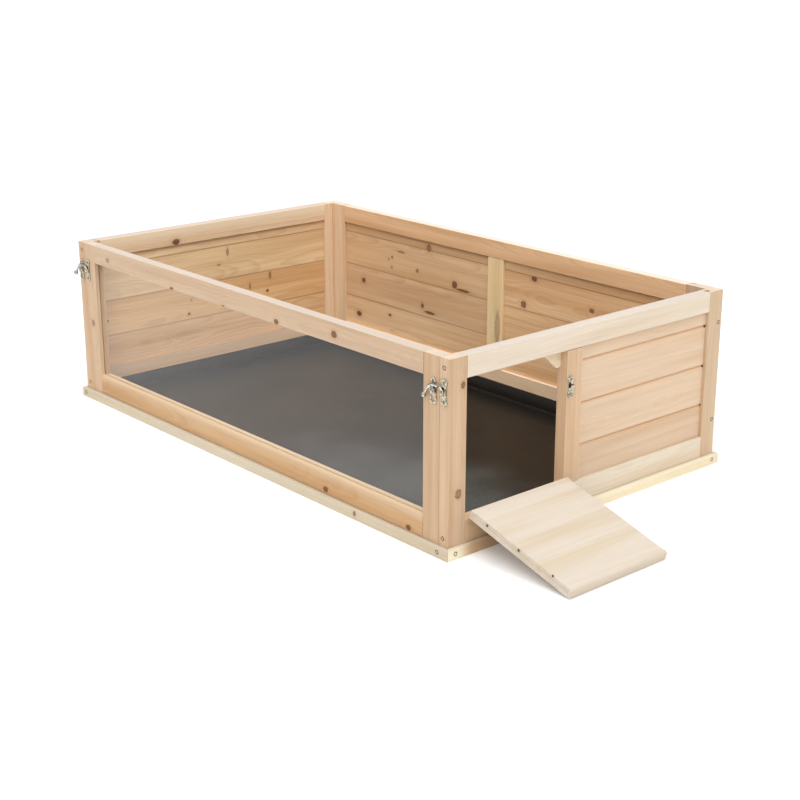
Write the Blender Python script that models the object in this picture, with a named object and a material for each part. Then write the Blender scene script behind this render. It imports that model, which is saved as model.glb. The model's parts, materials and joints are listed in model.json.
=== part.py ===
"""Low timber enclosure for gerbils, with a lift-off window, a fold-down ramp door and a floor tray.

Metres, +Z up. X runs along the long side, with the ramp door at the +X end, and the window faces -Y.
The origin is the centre of the floor panel's underside, on the ground.
Each wall is modelled in its own frame: x to the right as seen from outside, y inwards from the
outer face, z up from the top of the plinth.
"""

import math

import bmesh
import bpy

# Whole enclosure
BODY_LENGTH = 0.900
BODY_DEPTH = 0.540
WALL_HEIGHT = 0.252

# Clearances
SEAT_GAP = 0.0003
SLIDE_GAP = 0.0005
CUT_OVERRUN = 0.004
UNDERCUT = 0.001

# Plinth and floor panel
PLINTH_HEIGHT = 0.015
PLINTH_WIDTH = 0.026
PLINTH_OVERHANG = 0.006
PLINTH_EASE = 0.0012
FLOOR_THICKNESS = 0.003
FLOOR_BEARING = 0.008

# Frame stock of the four walls
STOCK = 0.018
STILE_WIDTH = 0.030
LEFT_REAR_STILE_WIDTH = 0.036
BACK_STILE_WIDTH = 0.035
BACK_MID_STILE_WIDTH = 0.036
DOOR_POST_WIDTH = 0.030
TOP_RAIL_HEIGHT = 0.030
BOTTOM_RAIL_HEIGHT = 0.032
EDGE_EASE = 0.0008
HEAD_EASE = 0.002
GROOVE_DEPTH = 0.008
TENON_SHOULDER = 0.005
POST_COVER = 0.003

# Matched boards that fill the solid walls
BOARD_THICKNESS = 0.008
BOARD_PITCH = 0.0604
FIRST_JOINT = 0.0529
RIGHT_FIRST_JOINT = 0.0486
TONGUE_HEIGHT = 0.003
TONGUE_THICKNESS = 0.0026
V_CHAMFER = 0.002

# Window wall
PANE_THICKNESS = 0.002
PANE_SETBACK = 0.007
SILL_ROUND = 0.0055
DOWEL_RADIUS = 0.003
DOWEL_REACH = 0.008
DOWEL_INSET = 0.060

# Tray
TRAY_SHEET = 0.0012
TRAY_RIM_RISE = 0.0105
TRAY_RIM_GAP = 0.001
TRAY_LIP = 0.003
TRAY_WALL_RUN = 0.0045
TRAY_FOOT_RADIUS = 0.004
TRAY_CORNER_RADIUS = 0.018

# Ramp door
DOOR_OPENING_WIDTH = 0.183
RAMP_LENGTH = 0.184
RAMP_THICKNESS = 0.012
RAMP_SIDE_GAP = 0.0017
RAMP_FOOT_GAP = 0.001
RAMP_END_ROUND = 0.004
RAMP_GROUND_GAP = 0.0003
REBATE_DEPTH = 0.0012
REBATE_HEIGHT = 0.006
REBATE_HINGE_STOP = 0.008
REBATE_FREE_STOP = 0.005
STOP_LEG_ACROSS = 0.034
STOP_LEG_DOWN = 0.0245
STOP_TIP = 0.002
STOP_FOOT = 0.008

# Ramp hinges
HINGE_LENGTH = 0.030
HINGE_INSET = 0.042
HINGE_LEAF_WIDTH = 0.014
LEAF_THICKNESS = 0.0012
HINGE_PIN_RADIUS = 0.0013
KNUCKLE_COUNT = 5
KNUCKLE_CLEARANCE = 0.0006
LEAF_SCREW_RADIUS = 0.0016
LEAF_SCREW_INSET = 0.007
LEAF_SCREW_EDGE = 0.0038

# Horn latches
LATCH_HEIGHT = 0.037
LATCH_PLATE_THICKNESS = 0.0012
LATCH_BOSS_HEIGHT = 0.001
LATCH_BOSS_RADIUS = 0.0032
LEVER_THICKNESS = 0.0014
STUD_RADIUS = 0.0016
STUD_HEAD_RADIUS = 0.0034
STUD_HEAD_HEIGHT = 0.0016
LATCH_BALL_RADIUS = 0.00375
LATCH_BALL_CLEARANCE = 0.0006
LATCH_SCREW_RADIUS = 0.0015
KEEPER_WIDTH = 0.0116
HOOK_GAP = 0.0005
HOOK_THICKNESS = 0.0011
HOOK_BEND = 0.0009
HOOK_HEIGHT = 0.006
LATCH_RISE = 0.206
RAMP_LATCH_RISE = 0.1715
LATCH_OPEN_ANGLE = math.radians(90.0)

# Shares of the latch height, from its pivot
HUB_SHARE = 0.168
EAR_RISE_SHARE = 0.335
EAR_SHARE = 0.125
SCROLL_CENTRE_SHARES = (-0.011, -0.316)
SCROLL_OUTER_SHARE = 0.184
SCROLL_INNER_SHARE = 0.087
LEVER_HUB_SHARE = 0.124
NECK_SHARE = 0.055
HORN_CENTRE_SHARES = (0.051, -0.386)
HORN_RADIUS_SHARE = 0.635
HORN_BELLY_SHARE = 0.066
HORN_TIP_SHARE = 0.030
HORN_TIP_ANGLE = math.radians(42.3)
HORN_BALL_ANGLE = math.radians(156.7)
KEEPER_OFFSET_SHARES = (0.527, 0.041)
KEEPER_LOBE_RISE_SHARE = 0.343
DOOR_KEEPER_LOBE_RISE_SHARE = 0.265
KEEPER_SLOT_SHARES = (-0.100, 0.020, -0.030, 0.175)
LEG_SHARE = 0.090
CAP_REACH_SHARE = 0.075
LOBE_TURN = math.radians(42.0)
EAR_TURN = math.radians(50.0)

# Roundness
ARC_STEP = math.radians(22.5)
TURN_SEGMENTS = 14
DOME_STEPS = 3

# Derived sizes
CLEAR_BOTTOM = BOTTOM_RAIL_HEIGHT
CLEAR_TOP = WALL_HEIGHT - TOP_RAIL_HEIGHT
TONGUE_LOW = (STOCK - BOARD_THICKNESS) / 2
TONGUE_HIGH = (STOCK + BOARD_THICKNESS) / 2
TENON_LENGTH = GROOVE_DEPTH - SEAT_GAP
BOARD_GROOVE = (TONGUE_LOW - SEAT_GAP, TONGUE_HIGH + SEAT_GAP, GROOVE_DEPTH)
PANE_GROOVE = (PANE_SETBACK - SEAT_GAP, PANE_SETBACK + PANE_THICKNESS + SEAT_GAP, GROOVE_DEPTH)
KNUCKLE_RADIUS = HINGE_PIN_RADIUS + SEAT_GAP + LEAF_THICKNESS
HINGE_OFFSET = SEAT_GAP + KNUCKLE_RADIUS
HINGE_RISE = CLEAR_BOTTOM + RAMP_FOOT_GAP
DOOR_LEFT = STILE_WIDTH
DOOR_RIGHT = DOOR_LEFT + DOOR_OPENING_WIDTH
RAMP_WIDTH = DOOR_OPENING_WIDTH - 2 * RAMP_SIDE_GAP
LEVER_RISE = LATCH_PLATE_THICKNESS + LATCH_BOSS_HEIGHT + SEAT_GAP

# Colour, roughness and metallic value of each finish
PALE_PINE = ((0.80, 0.68, 0.50), 0.55, 0.0)
PEACH_PINE = ((0.72, 0.50, 0.34), 0.55, 0.0)
TAN_PINE = ((0.58, 0.36, 0.19), 0.55, 0.0)
ORANGE_PINE = ((0.60, 0.34, 0.15), 0.55, 0.0)
BIRCH_PLY = ((0.70, 0.56, 0.38), 0.65, 0.0)
BLACK_PLASTIC = ((0.075, 0.070, 0.066), 0.5, 0.0)
CLEAR_ACRYLIC = ((0.90, 0.93, 0.93), 0.08, 0.0)
NICKEL = ((0.72, 0.70, 0.64), 0.22, 1.0)


def clear_scene():
    """Remove whatever objects the scene starts with."""
    for thing in list(bpy.data.objects):
        bpy.data.objects.remove(thing)


def frame(name, location, turn=(0.0, 0.0, 0.0), parent=None):
    """An empty that carries a wall, the tray, the ramp or a latch."""
    holder = bpy.data.objects.new(name, None)
    bpy.context.scene.collection.objects.link(holder)
    holder.parent = parent
    holder.location = location
    holder.rotation_euler = turn
    return holder


def finish_material(name, finish):
    """A plain material from a finish's colour, roughness and metallic value."""
    colour, roughness, metallic = finish
    material = bpy.data.materials.new(name)
    material.use_nodes = True
    shader = material.node_tree.nodes["Principled BSDF"]
    shader.inputs["Base Color"].default_value = (*colour, 1.0)
    shader.inputs["Roughness"].default_value = roughness
    shader.inputs["Metallic"].default_value = metallic
    return material


def add_object(name, shape, parent=None):
    """Turn a bmesh into an object of the scene, with its faces pointing out."""
    bmesh.ops.recalc_face_normals(shape, faces=shape.faces)
    mesh = bpy.data.meshes.new(name)
    shape.to_mesh(mesh)
    shape.free()
    thing = bpy.data.objects.new(name, mesh)
    bpy.context.scene.collection.objects.link(thing)
    thing.parent = parent
    return thing


def add_piece(name, shape, finish, parent=None):
    """A piece of the enclosure, with a material of its own."""
    piece = add_object(name, shape, parent)
    piece.data.materials.append(finish_material(name + "_finish", finish))
    return piece


def combine(piece, shape, operation):
    """Cut a shape out of a piece, or join it on, with a Boolean that is applied at once."""
    cutter = add_object(piece.name + "_cutter", shape, piece.parent)
    cutter.location = piece.location
    modifier = piece.modifiers.new(operation.lower(), "BOOLEAN")
    modifier.operation = operation
    modifier.object = cutter
    bpy.context.view_layer.update()
    graph = bpy.context.evaluated_depsgraph_get()
    piece.data = bpy.data.meshes.new_from_object(piece.evaluated_get(graph))
    piece.modifiers.clear()
    bpy.data.objects.remove(cutter)


def cut(piece, shape):
    """Take a shape away from a piece."""
    combine(piece, shape, "DIFFERENCE")


def join(piece, shape):
    """Join a shape to a piece."""
    combine(piece, shape, "UNION")


def shade_round(piece, limit=math.radians(35.0)):
    """Smooth the round faces of a piece and keep its edges sharp."""
    piece.data.shade_smooth()
    piece.data.set_sharp_from_angle(angle=limit)


def arc(centre, radius, start, stop):
    """Points along an arc, both ends included, in as many steps as its turn needs."""
    steps = max(1, round(abs(stop - start) / ARC_STEP))
    angles = [start + (stop - start) * step / steps for step in range(steps + 1)]
    return [(centre[0] + radius * math.cos(a), centre[1] + radius * math.sin(a)) for a in angles]


def place_point(axis, point, along):
    """Put a point of an outline in space, for a prism along the named axis."""
    first, second = point
    if axis == "X":
        return (along, first, second)
    if axis == "Y":
        return (first, along, second)
    return (first, second, along)


def prism(outline, axis, start, stop):
    """A closed prism: the outline, in the other two axes, extruded from start to stop."""
    shape = bmesh.new()
    base = shape.faces.new([shape.verts.new(place_point(axis, point, start)) for point in outline])
    grown = bmesh.ops.extrude_face_region(shape, geom=[base])
    moved = [item for item in grown["geom"] if isinstance(item, bmesh.types.BMVert)]
    bmesh.ops.translate(shape, verts=moved, vec=place_point(axis, (0.0, 0.0), stop - start))
    return shape


def boxes(*corners):
    """One shape of separate boxes, each given by its lowest and highest corners."""
    shape = bmesh.new()
    for low, high in corners:
        made = bmesh.ops.create_cube(shape, size=1.0)
        size = [top - bottom for bottom, top in zip(low, high)]
        middle = [(top + bottom) / 2 for bottom, top in zip(low, high)]
        bmesh.ops.scale(shape, vec=size, verts=made["verts"])
        bmesh.ops.translate(shape, vec=middle, verts=made["verts"])
    return shape


def turned(profile, centre, direction, shape=None):
    """A turned solid: (radius, height) points spun about an axis that starts at the centre.

    The profile starts and ends on the axis, which runs towards the direction, such as "+Z". Where
    a shape is given, the solid is added to it as a separate body.
    """
    shape = shape or bmesh.new()
    rings = []
    angles = [2 * math.pi * step / TURN_SEGMENTS for step in range(TURN_SEGMENTS)]
    for radius, height in profile:
        spots = angles if radius else angles[:1]
        points = [(radius * math.cos(a), radius * math.sin(a), height) for a in spots]
        rings.append([shape.verts.new(aim(point, direction)) for point in points])
    for lower, upper in zip(rings, rings[1:]):
        for step in range(TURN_SEGMENTS):
            after = (step + 1) % TURN_SEGMENTS
            corners = [lower[step % len(lower)], lower[after % len(lower)],
                       upper[after % len(upper)], upper[step % len(upper)]]
            shape.faces.new(list(dict.fromkeys(corners)))
    made = [vertex for ring in rings for vertex in ring]
    bmesh.ops.translate(shape, vec=centre, verts=made)
    return shape


def aim(point, direction):
    """Turn a point about an upright axis so that its height runs towards a direction."""
    x, y, height = point
    if direction == "-Y":
        return (x, -height, y)
    if direction == "+Y":
        return (x, height, -y)
    if direction == "+X":
        return (height, y, -x)
    return (x, y, height)


def ball_profile(radius):
    """Half a circle from pole to pole, as a profile for turning."""
    steps = TURN_SEGMENTS // 2
    angles = [math.pi * step / steps for step in range(1, steps)]
    around = [(radius * math.sin(a), -radius * math.cos(a)) for a in angles]
    return [(0.0, -radius), *around, (0.0, radius)]


def bar_outline(width, eases=None, low_groove=None, high_groove=None):
    """The section of a stile or rail, as (across the width, inwards) points.

    The eases are the corner radii at (low outer, high outer, high inner, low inner). A groove is
    given by its two sides, measured inwards from the outer face, and its depth.
    """
    low_outer, high_outer, high_inner, low_inner = eases or (EDGE_EASE,) * 4
    half_turn = math.pi
    quarter = math.pi / 2
    outline = arc((low_outer, low_outer), low_outer, half_turn, half_turn + quarter)
    outline += arc((width - high_outer, high_outer), high_outer, -quarter, 0.0)
    if high_groove:
        near, far, depth = high_groove
        outline += [(width, near), (width - depth, near), (width - depth, far), (width, far)]
    outline += arc((width - high_inner, STOCK - high_inner), high_inner, 0.0, quarter)
    outline += arc((low_inner, STOCK - low_inner), low_inner, quarter, half_turn)
    if low_groove:
        near, far, depth = low_groove
        outline += [(0.0, far), (depth, far), (depth, near), (0.0, near)]
    return outline


def add_upright(wall, name, left, width, bottom, top, finish, **section):
    """A stile or post: its section runs across x and y, and its length along z."""
    outline = [(left + across, inwards) for across, inwards in bar_outline(width, **section)]
    return add_piece(name, prism(outline, "Z", bottom, top), finish, wall)


def add_rail(wall, name, span, bottom, height, finish, shoulder=EDGE_EASE, **section):
    """A rail whose stub tenons enter the uprights at both ends of its span."""
    outline = [(inwards, bottom + across) for across, inwards in bar_outline(height, **section)]
    left, right = span[0] + SEAT_GAP, span[1] - SEAT_GAP
    rail = add_piece(name, prism(outline, "X", left, right), finish, wall)
    tenon_low, tenon_high = tenon_span(bottom, height, shoulder)
    reach = TENON_LENGTH
    join(rail, boxes(((span[0] - reach, TONGUE_LOW, tenon_low), (span[1] + reach, TONGUE_HIGH, tenon_high))))
    return rail


def tenon_span(bottom, height, shoulder):
    """Lowest and highest points of a rail's tenon, which keeps clear of the groove side."""
    inner_side = GROOVE_DEPTH + UNDERCUT
    if bottom > CLEAR_BOTTOM:
        return bottom + inner_side, bottom + height - shoulder
    return bottom + shoulder, bottom + height - inner_side


def mortise_box(edge, direction, bottom, height):
    """The pocket in an upright's edge for a shouldered tenon, one gap larger all round."""
    tenon_low, tenon_high = tenon_span(bottom, height, TENON_SHOULDER)
    inner = edge - direction * GROOVE_DEPTH
    outer = edge + direction * CUT_OVERRUN
    low = (min(inner, outer), TONGUE_LOW - SEAT_GAP, tenon_low - SEAT_GAP)
    high = (max(inner, outer), TONGUE_HIGH + SEAT_GAP, tenon_high + SEAT_GAP)
    return low, high


def cut_mortises(upright, edge, direction):
    """Cut the top and bottom rails' pockets into one edge of an upright."""
    cut(upright, boxes(mortise_box(edge, direction, 0.0, BOTTOM_RAIL_HEIGHT),
                       mortise_box(edge, direction, CLEAR_TOP, TOP_RAIL_HEIGHT)))


def board_outline(bottom, top, groove_below, tongue_above):
    """The section of a matched board, as (inwards, up) points.

    The outer arrises are chamfered where two boards meet, and the inner face is flush.
    """
    outer, inner = TONGUE_LOW, TONGUE_HIGH
    middle = (outer + inner) / 2
    tongue = TONGUE_THICKNESS / 2
    slot = tongue + SEAT_GAP
    half_gap = SEAT_GAP / 2
    outline = []
    if groove_below:
        slot_top = bottom + half_gap + TONGUE_HEIGHT + SEAT_GAP
        outline += [(outer, bottom + half_gap + V_CHAMFER), (outer + V_CHAMFER, bottom + half_gap),
                    (middle - slot, bottom + half_gap), (middle - slot, slot_top),
                    (middle + slot, slot_top), (middle + slot, bottom + half_gap),
                    (inner, bottom + half_gap)]
    else:
        outline += [(outer, bottom), (inner, bottom)]
    if tongue_above:
        tongue_top = top - half_gap + TONGUE_HEIGHT
        outline += [(inner, top - half_gap), (middle + tongue, top - half_gap),
                    (middle + tongue, tongue_top), (middle - tongue, tongue_top),
                    (middle - tongue, top - half_gap), (outer + V_CHAMFER, top - half_gap),
                    (outer, top - half_gap - V_CHAMFER)]
    else:
        outline += [(inner, top), (outer, top)]
    return outline


def add_boards(wall, prefix, bay, first_joint, finish):
    """Fill a bay with matched boards that seat in the grooves on all four sides."""
    seat = GROOVE_DEPTH - SEAT_GAP
    lowest = CLEAR_BOTTOM - seat
    highest = CLEAR_TOP + seat
    least_cover = TONGUE_HEIGHT + 2 * SEAT_GAP
    joints = []
    joint = CLEAR_BOTTOM + first_joint
    while joint < CLEAR_TOP - least_cover:
        joints.append(joint)
        joint += BOARD_PITCH
    edges = [lowest, *joints, highest]
    for number, (bottom, top) in enumerate(zip(edges, edges[1:]), start=1):
        outline = board_outline(bottom, top, bottom > lowest, top < highest)
        board = prism(outline, "X", bay[0] - seat, bay[1] + seat)
        add_piece(f"{prefix}_{number}", board, finish, wall)


def add_plinth_board(name, length, location, turn, finish):
    """One mitred board of the plinth, with the floor panel's rebate along its lower inner edge.

    Its x runs along the outer edge, y inwards and z up, and the mitres run in at 45 degrees.
    """
    rebate = FLOOR_BEARING + SEAT_GAP
    rise = FLOOR_THICKNESS + SEAT_GAP
    quarter = math.pi / 2
    ease = PLINTH_EASE
    section = [(0.0, 0.0), (PLINTH_WIDTH - rebate, 0.0), (PLINTH_WIDTH - rebate, rise), (PLINTH_WIDTH, rise)]
    section += arc((PLINTH_WIDTH - ease, PLINTH_HEIGHT - ease), ease, 0.0, quarter)
    section += arc((ease, PLINTH_HEIGHT - ease), ease, quarter, math.pi)
    shape = prism(section, "X", -length / 2, length / 2)
    for vertex in shape.verts:
        mitre = vertex.co.y + SEAT_GAP / math.sqrt(2.0)
        vertex.co.x -= math.copysign(mitre, vertex.co.x)
    board = add_piece(name, shape, finish)
    board.location = location
    board.rotation_euler = (0.0, 0.0, turn)
    return board


def build_base():
    """The plinth's four mitred boards and the floor panel let into them."""
    half_length = BODY_LENGTH / 2 + PLINTH_OVERHANG
    half_depth = BODY_DEPTH / 2 + PLINTH_OVERHANG
    quarter = math.pi / 2
    front = add_plinth_board("plinth_front", 2 * half_length, (0.0, -half_depth, 0.0), 0.0, PALE_PINE)
    add_plinth_board("plinth_right", 2 * half_depth, (half_length, 0.0, 0.0), quarter, PALE_PINE)
    add_plinth_board("plinth_back", 2 * half_length, (0.0, half_depth, 0.0), 2 * quarter, PALE_PINE)
    add_plinth_board("plinth_left", 2 * half_depth, (-half_length, 0.0, 0.0), -quarter, PALE_PINE)
    hole_radius = DOWEL_RADIUS + SEAT_GAP
    for x in dowel_places():
        centre = (x, PLINTH_OVERHANG + STOCK / 2, PLINTH_HEIGHT - DOWEL_REACH - SEAT_GAP)
        cut(front, turned(rod_profile(hole_radius, DOWEL_REACH + CUT_OVERRUN), centre, "+Z"))
    panel_x = half_length - PLINTH_WIDTH + FLOOR_BEARING
    panel_y = half_depth - PLINTH_WIDTH + FLOOR_BEARING
    panel = boxes(((-panel_x, -panel_y, 0.0), (panel_x, panel_y, FLOOR_THICKNESS)))
    add_piece("floor_panel", panel, BIRCH_PLY)


def rod_profile(radius, length):
    """A plain rod's profile for turning, from its foot at height zero."""
    return [(0.0, 0.0), (radius, 0.0), (radius, length), (0.0, length)]


def eased_rod_profile(radius, length, ease):
    """A rod's profile with both ends eased."""
    return [(0.0, 0.0), (radius - ease, 0.0), (radius, ease), (radius, length - ease),
            (radius - ease, length), (0.0, length)]


def dome_points(radius, base, height):
    """A flattened dome's profile, from its rim to its crown on the axis."""
    angles = [math.pi / 2 * step / DOME_STEPS for step in range(DOME_STEPS)]
    rim = [(radius * math.cos(a), base + height * math.sin(a)) for a in angles]
    return [*rim, (0.0, base + height)]


def dowel_places():
    """Where the window's two locating dowels stand, along X."""
    reach = BODY_LENGTH / 2 - STOCK - DOWEL_INSET
    return (-reach, reach)


def build_left_wall():
    """The solid wall at the -X end, boarded between two stiles."""
    wall = frame("left_wall", (-BODY_LENGTH / 2, BODY_DEPTH / 2, PLINTH_HEIGHT + SEAT_GAP),
                 (0.0, 0.0, -math.pi / 2))
    bay = (LEFT_REAR_STILE_WIDTH, BODY_DEPTH - STILE_WIDTH)
    add_upright(wall, "left_rear_stile", 0.0, LEFT_REAR_STILE_WIDTH, 0.0, WALL_HEIGHT, PEACH_PINE,
                high_groove=BOARD_GROOVE)
    add_upright(wall, "left_front_stile", bay[1], STILE_WIDTH, 0.0, WALL_HEIGHT, PEACH_PINE,
                low_groove=BOARD_GROOVE)
    add_rail(wall, "left_top_rail", bay, CLEAR_TOP, TOP_RAIL_HEIGHT, TAN_PINE, low_groove=BOARD_GROOVE)
    add_rail(wall, "left_bottom_rail", bay, 0.0, BOTTOM_RAIL_HEIGHT, TAN_PINE, high_groove=BOARD_GROOVE)
    add_boards(wall, "left_board", bay, FIRST_JOINT, TAN_PINE)


def build_back_wall():
    """The solid wall at the back, in two boarded bays, standing between the end walls."""
    end_gap = STOCK + SEAT_GAP
    length = BODY_LENGTH - 2 * end_gap
    wall = frame("back_wall", (BODY_LENGTH / 2 - end_gap, BODY_DEPTH / 2, PLINTH_HEIGHT + SEAT_GAP),
                 (0.0, 0.0, math.pi))
    inner_right = length - BACK_STILE_WIDTH
    mid_left = (length - BACK_MID_STILE_WIDTH) / 2
    mid_right = mid_left + BACK_MID_STILE_WIDTH
    span = (BACK_STILE_WIDTH, inner_right)
    add_upright(wall, "back_right_stile", 0.0, BACK_STILE_WIDTH, 0.0, WALL_HEIGHT, TAN_PINE,
                high_groove=BOARD_GROOVE)
    add_upright(wall, "back_left_stile", inner_right, BACK_STILE_WIDTH, 0.0, WALL_HEIGHT, TAN_PINE,
                low_groove=BOARD_GROOVE)
    add_rail(wall, "back_top_rail", span, CLEAR_TOP, TOP_RAIL_HEIGHT, TAN_PINE, low_groove=BOARD_GROOVE)
    add_rail(wall, "back_bottom_rail", span, 0.0, BOTTOM_RAIL_HEIGHT, TAN_PINE, high_groove=BOARD_GROOVE)
    middle = add_upright(wall, "back_mid_stile", mid_left, BACK_MID_STILE_WIDTH, CLEAR_BOTTOM + SEAT_GAP,
                         CLEAR_TOP - SEAT_GAP, TAN_PINE, low_groove=BOARD_GROOVE, high_groove=BOARD_GROOVE)
    web = GROOVE_DEPTH + UNDERCUT
    join(middle, boxes(((mid_left + web, TONGUE_LOW, CLEAR_BOTTOM - TENON_LENGTH),
                        (mid_right - web, TONGUE_HIGH, CLEAR_TOP + TENON_LENGTH))))
    add_boards(wall, "back_right_board", (BACK_STILE_WIDTH, mid_left), FIRST_JOINT, TAN_PINE)
    add_boards(wall, "back_left_board", (mid_right, inner_right), FIRST_JOINT, TAN_PINE)


def build_right_wall():
    """The wall at the +X end: a door opening, a post, and a boarded bay behind it."""
    wall = frame("right_wall", (BODY_LENGTH / 2, -BODY_DEPTH / 2, PLINTH_HEIGHT + SEAT_GAP),
                 (0.0, 0.0, math.pi / 2))
    post_right = DOOR_RIGHT + DOOR_POST_WIDTH
    rear = BODY_DEPTH - STILE_WIDTH
    span = (STILE_WIDTH, rear)
    head_eases = (HEAD_EASE, EDGE_EASE, EDGE_EASE, EDGE_EASE)
    front_stile = add_upright(wall, "right_front_stile", 0.0, STILE_WIDTH, 0.0, WALL_HEIGHT, PEACH_PINE)
    cut_mortises(front_stile, STILE_WIDTH, 1)
    add_upright(wall, "right_rear_stile", rear, STILE_WIDTH, 0.0, WALL_HEIGHT, PEACH_PINE,
                low_groove=BOARD_GROOVE)
    top_rail = add_rail(wall, "right_top_rail", span, CLEAR_TOP, TOP_RAIL_HEIGHT, PALE_PINE,
                        shoulder=TENON_SHOULDER, eases=head_eases)
    bottom_rail = add_rail(wall, "right_bottom_rail", span, 0.0, BOTTOM_RAIL_HEIGHT, PALE_PINE,
                           shoulder=TENON_SHOULDER)
    groove_left = DOOR_RIGHT + POST_COVER
    near, far, depth = BOARD_GROOVE
    cut(top_rail, boxes(((groove_left, near, CLEAR_TOP - CUT_OVERRUN),
                         (rear + GROOVE_DEPTH, far, CLEAR_TOP + depth))))
    cut(bottom_rail, boxes(((groove_left, near, CLEAR_BOTTOM - depth),
                            (rear + GROOVE_DEPTH, far, CLEAR_BOTTOM + CUT_OVERRUN))))
    post = add_upright(wall, "door_post", DOOR_RIGHT, DOOR_POST_WIDTH, CLEAR_BOTTOM + SEAT_GAP,
                       CLEAR_TOP - SEAT_GAP, PEACH_PINE, high_groove=BOARD_GROOVE)
    join(post, boxes(((groove_left + SEAT_GAP, TONGUE_LOW, CLEAR_BOTTOM - TENON_LENGTH),
                      (post_right - GROOVE_DEPTH - UNDERCUT, TONGUE_HIGH, CLEAR_TOP + TENON_LENGTH))))
    add_boards(wall, "right_board", (post_right, rear), RIGHT_FIRST_JOINT, PEACH_PINE)
    add_door_stop(wall)
    keeper_x, keeper_z = door_keeper_place()
    seat = frame("door_keeper_seat", (keeper_x, -SEAT_GAP, keeper_z), parent=wall)
    add_keeper("door_keeper", seat, DOOR_KEEPER_LOBE_RISE_SHARE)


def add_door_stop(wall):
    """The blunted triangular block that the closed door meets, in the opening's top rear corner."""
    corner_x = DOOR_RIGHT - SEAT_GAP
    corner_z = CLEAR_TOP - SEAT_GAP
    outline = [(corner_x, corner_z), (corner_x - STOP_LEG_ACROSS, corner_z),
               (corner_x - STOP_LEG_ACROSS, corner_z - STOP_TIP),
               (corner_x - STOP_FOOT, corner_z - STOP_LEG_DOWN), (corner_x, corner_z - STOP_LEG_DOWN)]
    closed_face = RAMP_THICKNESS + SEAT_GAP
    add_piece("door_stop", prism(outline, "Y", closed_face, STOCK), TAN_PINE, wall)


def build_front_wall():
    """The lift-off window: a mortised frame round a clear pane, standing on two dowels."""
    end_gap = STOCK + SLIDE_GAP
    length = BODY_LENGTH - 2 * end_gap
    wall = frame("front_wall", (-BODY_LENGTH / 2 + end_gap, -BODY_DEPTH / 2, PLINTH_HEIGHT + SEAT_GAP))
    inner_right = length - STILE_WIDTH
    span = (STILE_WIDTH, inner_right)
    pane_near, pane_far, pane_depth = PANE_GROOVE
    for name, left, edge, direction in (("front_left_stile", 0.0, STILE_WIDTH, 1),
                                        ("front_right_stile", inner_right, inner_right, -1)):
        stile = add_upright(wall, name, left, STILE_WIDTH, 0.0, WALL_HEIGHT, PEACH_PINE)
        cut_mortises(stile, edge, direction)
        sides = sorted((edge - direction * pane_depth, edge + direction * CUT_OVERRUN))
        cut(stile, boxes(((sides[0], pane_near, CLEAR_BOTTOM - pane_depth),
                          (sides[1], pane_far, CLEAR_TOP + pane_depth))))
    head_eases = (HEAD_EASE, EDGE_EASE, EDGE_EASE, EDGE_EASE)
    add_rail(wall, "front_top_rail", span, CLEAR_TOP, TOP_RAIL_HEIGHT, PEACH_PINE, shoulder=TENON_SHOULDER,
             eases=head_eases, low_groove=PANE_GROOVE)
    sill_eases = (EDGE_EASE, min(SILL_ROUND, pane_near), EDGE_EASE, EDGE_EASE)
    sill = add_rail(wall, "front_bottom_rail", span, 0.0, BOTTOM_RAIL_HEIGHT, ORANGE_PINE,
                    shoulder=TENON_SHOULDER, eases=sill_eases, high_groove=PANE_GROOVE)
    seat = pane_depth - SEAT_GAP
    pane = boxes(((STILE_WIDTH - seat, PANE_SETBACK, CLEAR_BOTTOM - seat),
                  (inner_right + seat, PANE_SETBACK + PANE_THICKNESS, CLEAR_TOP + seat)))
    add_piece("front_pane", pane, CLEAR_ACRYLIC, wall)
    hole_radius = DOWEL_RADIUS + SEAT_GAP
    for x in dowel_places():
        centre = (x + length / 2, STOCK / 2, -CUT_OVERRUN)
        cut(sill, turned(rod_profile(hole_radius, DOWEL_REACH + SEAT_GAP + CUT_OVERRUN), centre, "+Z"))
    base = PLINTH_HEIGHT - DOWEL_REACH
    for name, x in zip(("left_dowel", "right_dowel"), dowel_places()):
        rod = eased_rod_profile(DOWEL_RADIUS, 2 * DOWEL_REACH, EDGE_EASE)
        add_piece(name, turned(rod, (x, -BODY_DEPTH / 2 + STOCK / 2, base), "+Z"), PALE_PINE)
    offset = scaled(KEEPER_OFFSET_SHARES)
    place = (length / 2 - end_wall_x() + offset[0], -SEAT_GAP, LATCH_RISE + offset[1])
    add_keeper("left_keeper", frame("left_keeper_seat", place, parent=wall), KEEPER_LOBE_RISE_SHARE)
    seat = frame("right_latch", (length / 2 + end_wall_x() - offset[0], -SEAT_GAP, LATCH_RISE), parent=wall)
    add_latch("right_latch", seat)


def end_wall_x():
    """How far the centre of each end wall's front edge is from the middle."""
    return BODY_LENGTH / 2 - STOCK / 2


def build_front_catches():
    """The left latch and the right keeper, on the end walls' front edges.

    Both window latches have their keeper on the right, so the left latch is on the wall and the
    right one is on the window.
    """
    rise = PLINTH_HEIGHT + SEAT_GAP + LATCH_RISE
    near = -BODY_DEPTH / 2 - SEAT_GAP
    add_latch("left_latch", frame("left_latch", (-end_wall_x(), near, rise)))
    seat = frame("right_keeper_seat", (end_wall_x(), near, rise + scaled(KEEPER_OFFSET_SHARES)[1]))
    add_keeper("right_keeper", seat, KEEPER_LOBE_RISE_SHARE)


def door_keeper_place():
    """Where the door keeper's middle is on the right wall: beside the opening, on the door post."""
    return DOOR_RIGHT + KEEPER_WIDTH / 2 + SLIDE_GAP, RAMP_LATCH_RISE


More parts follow.
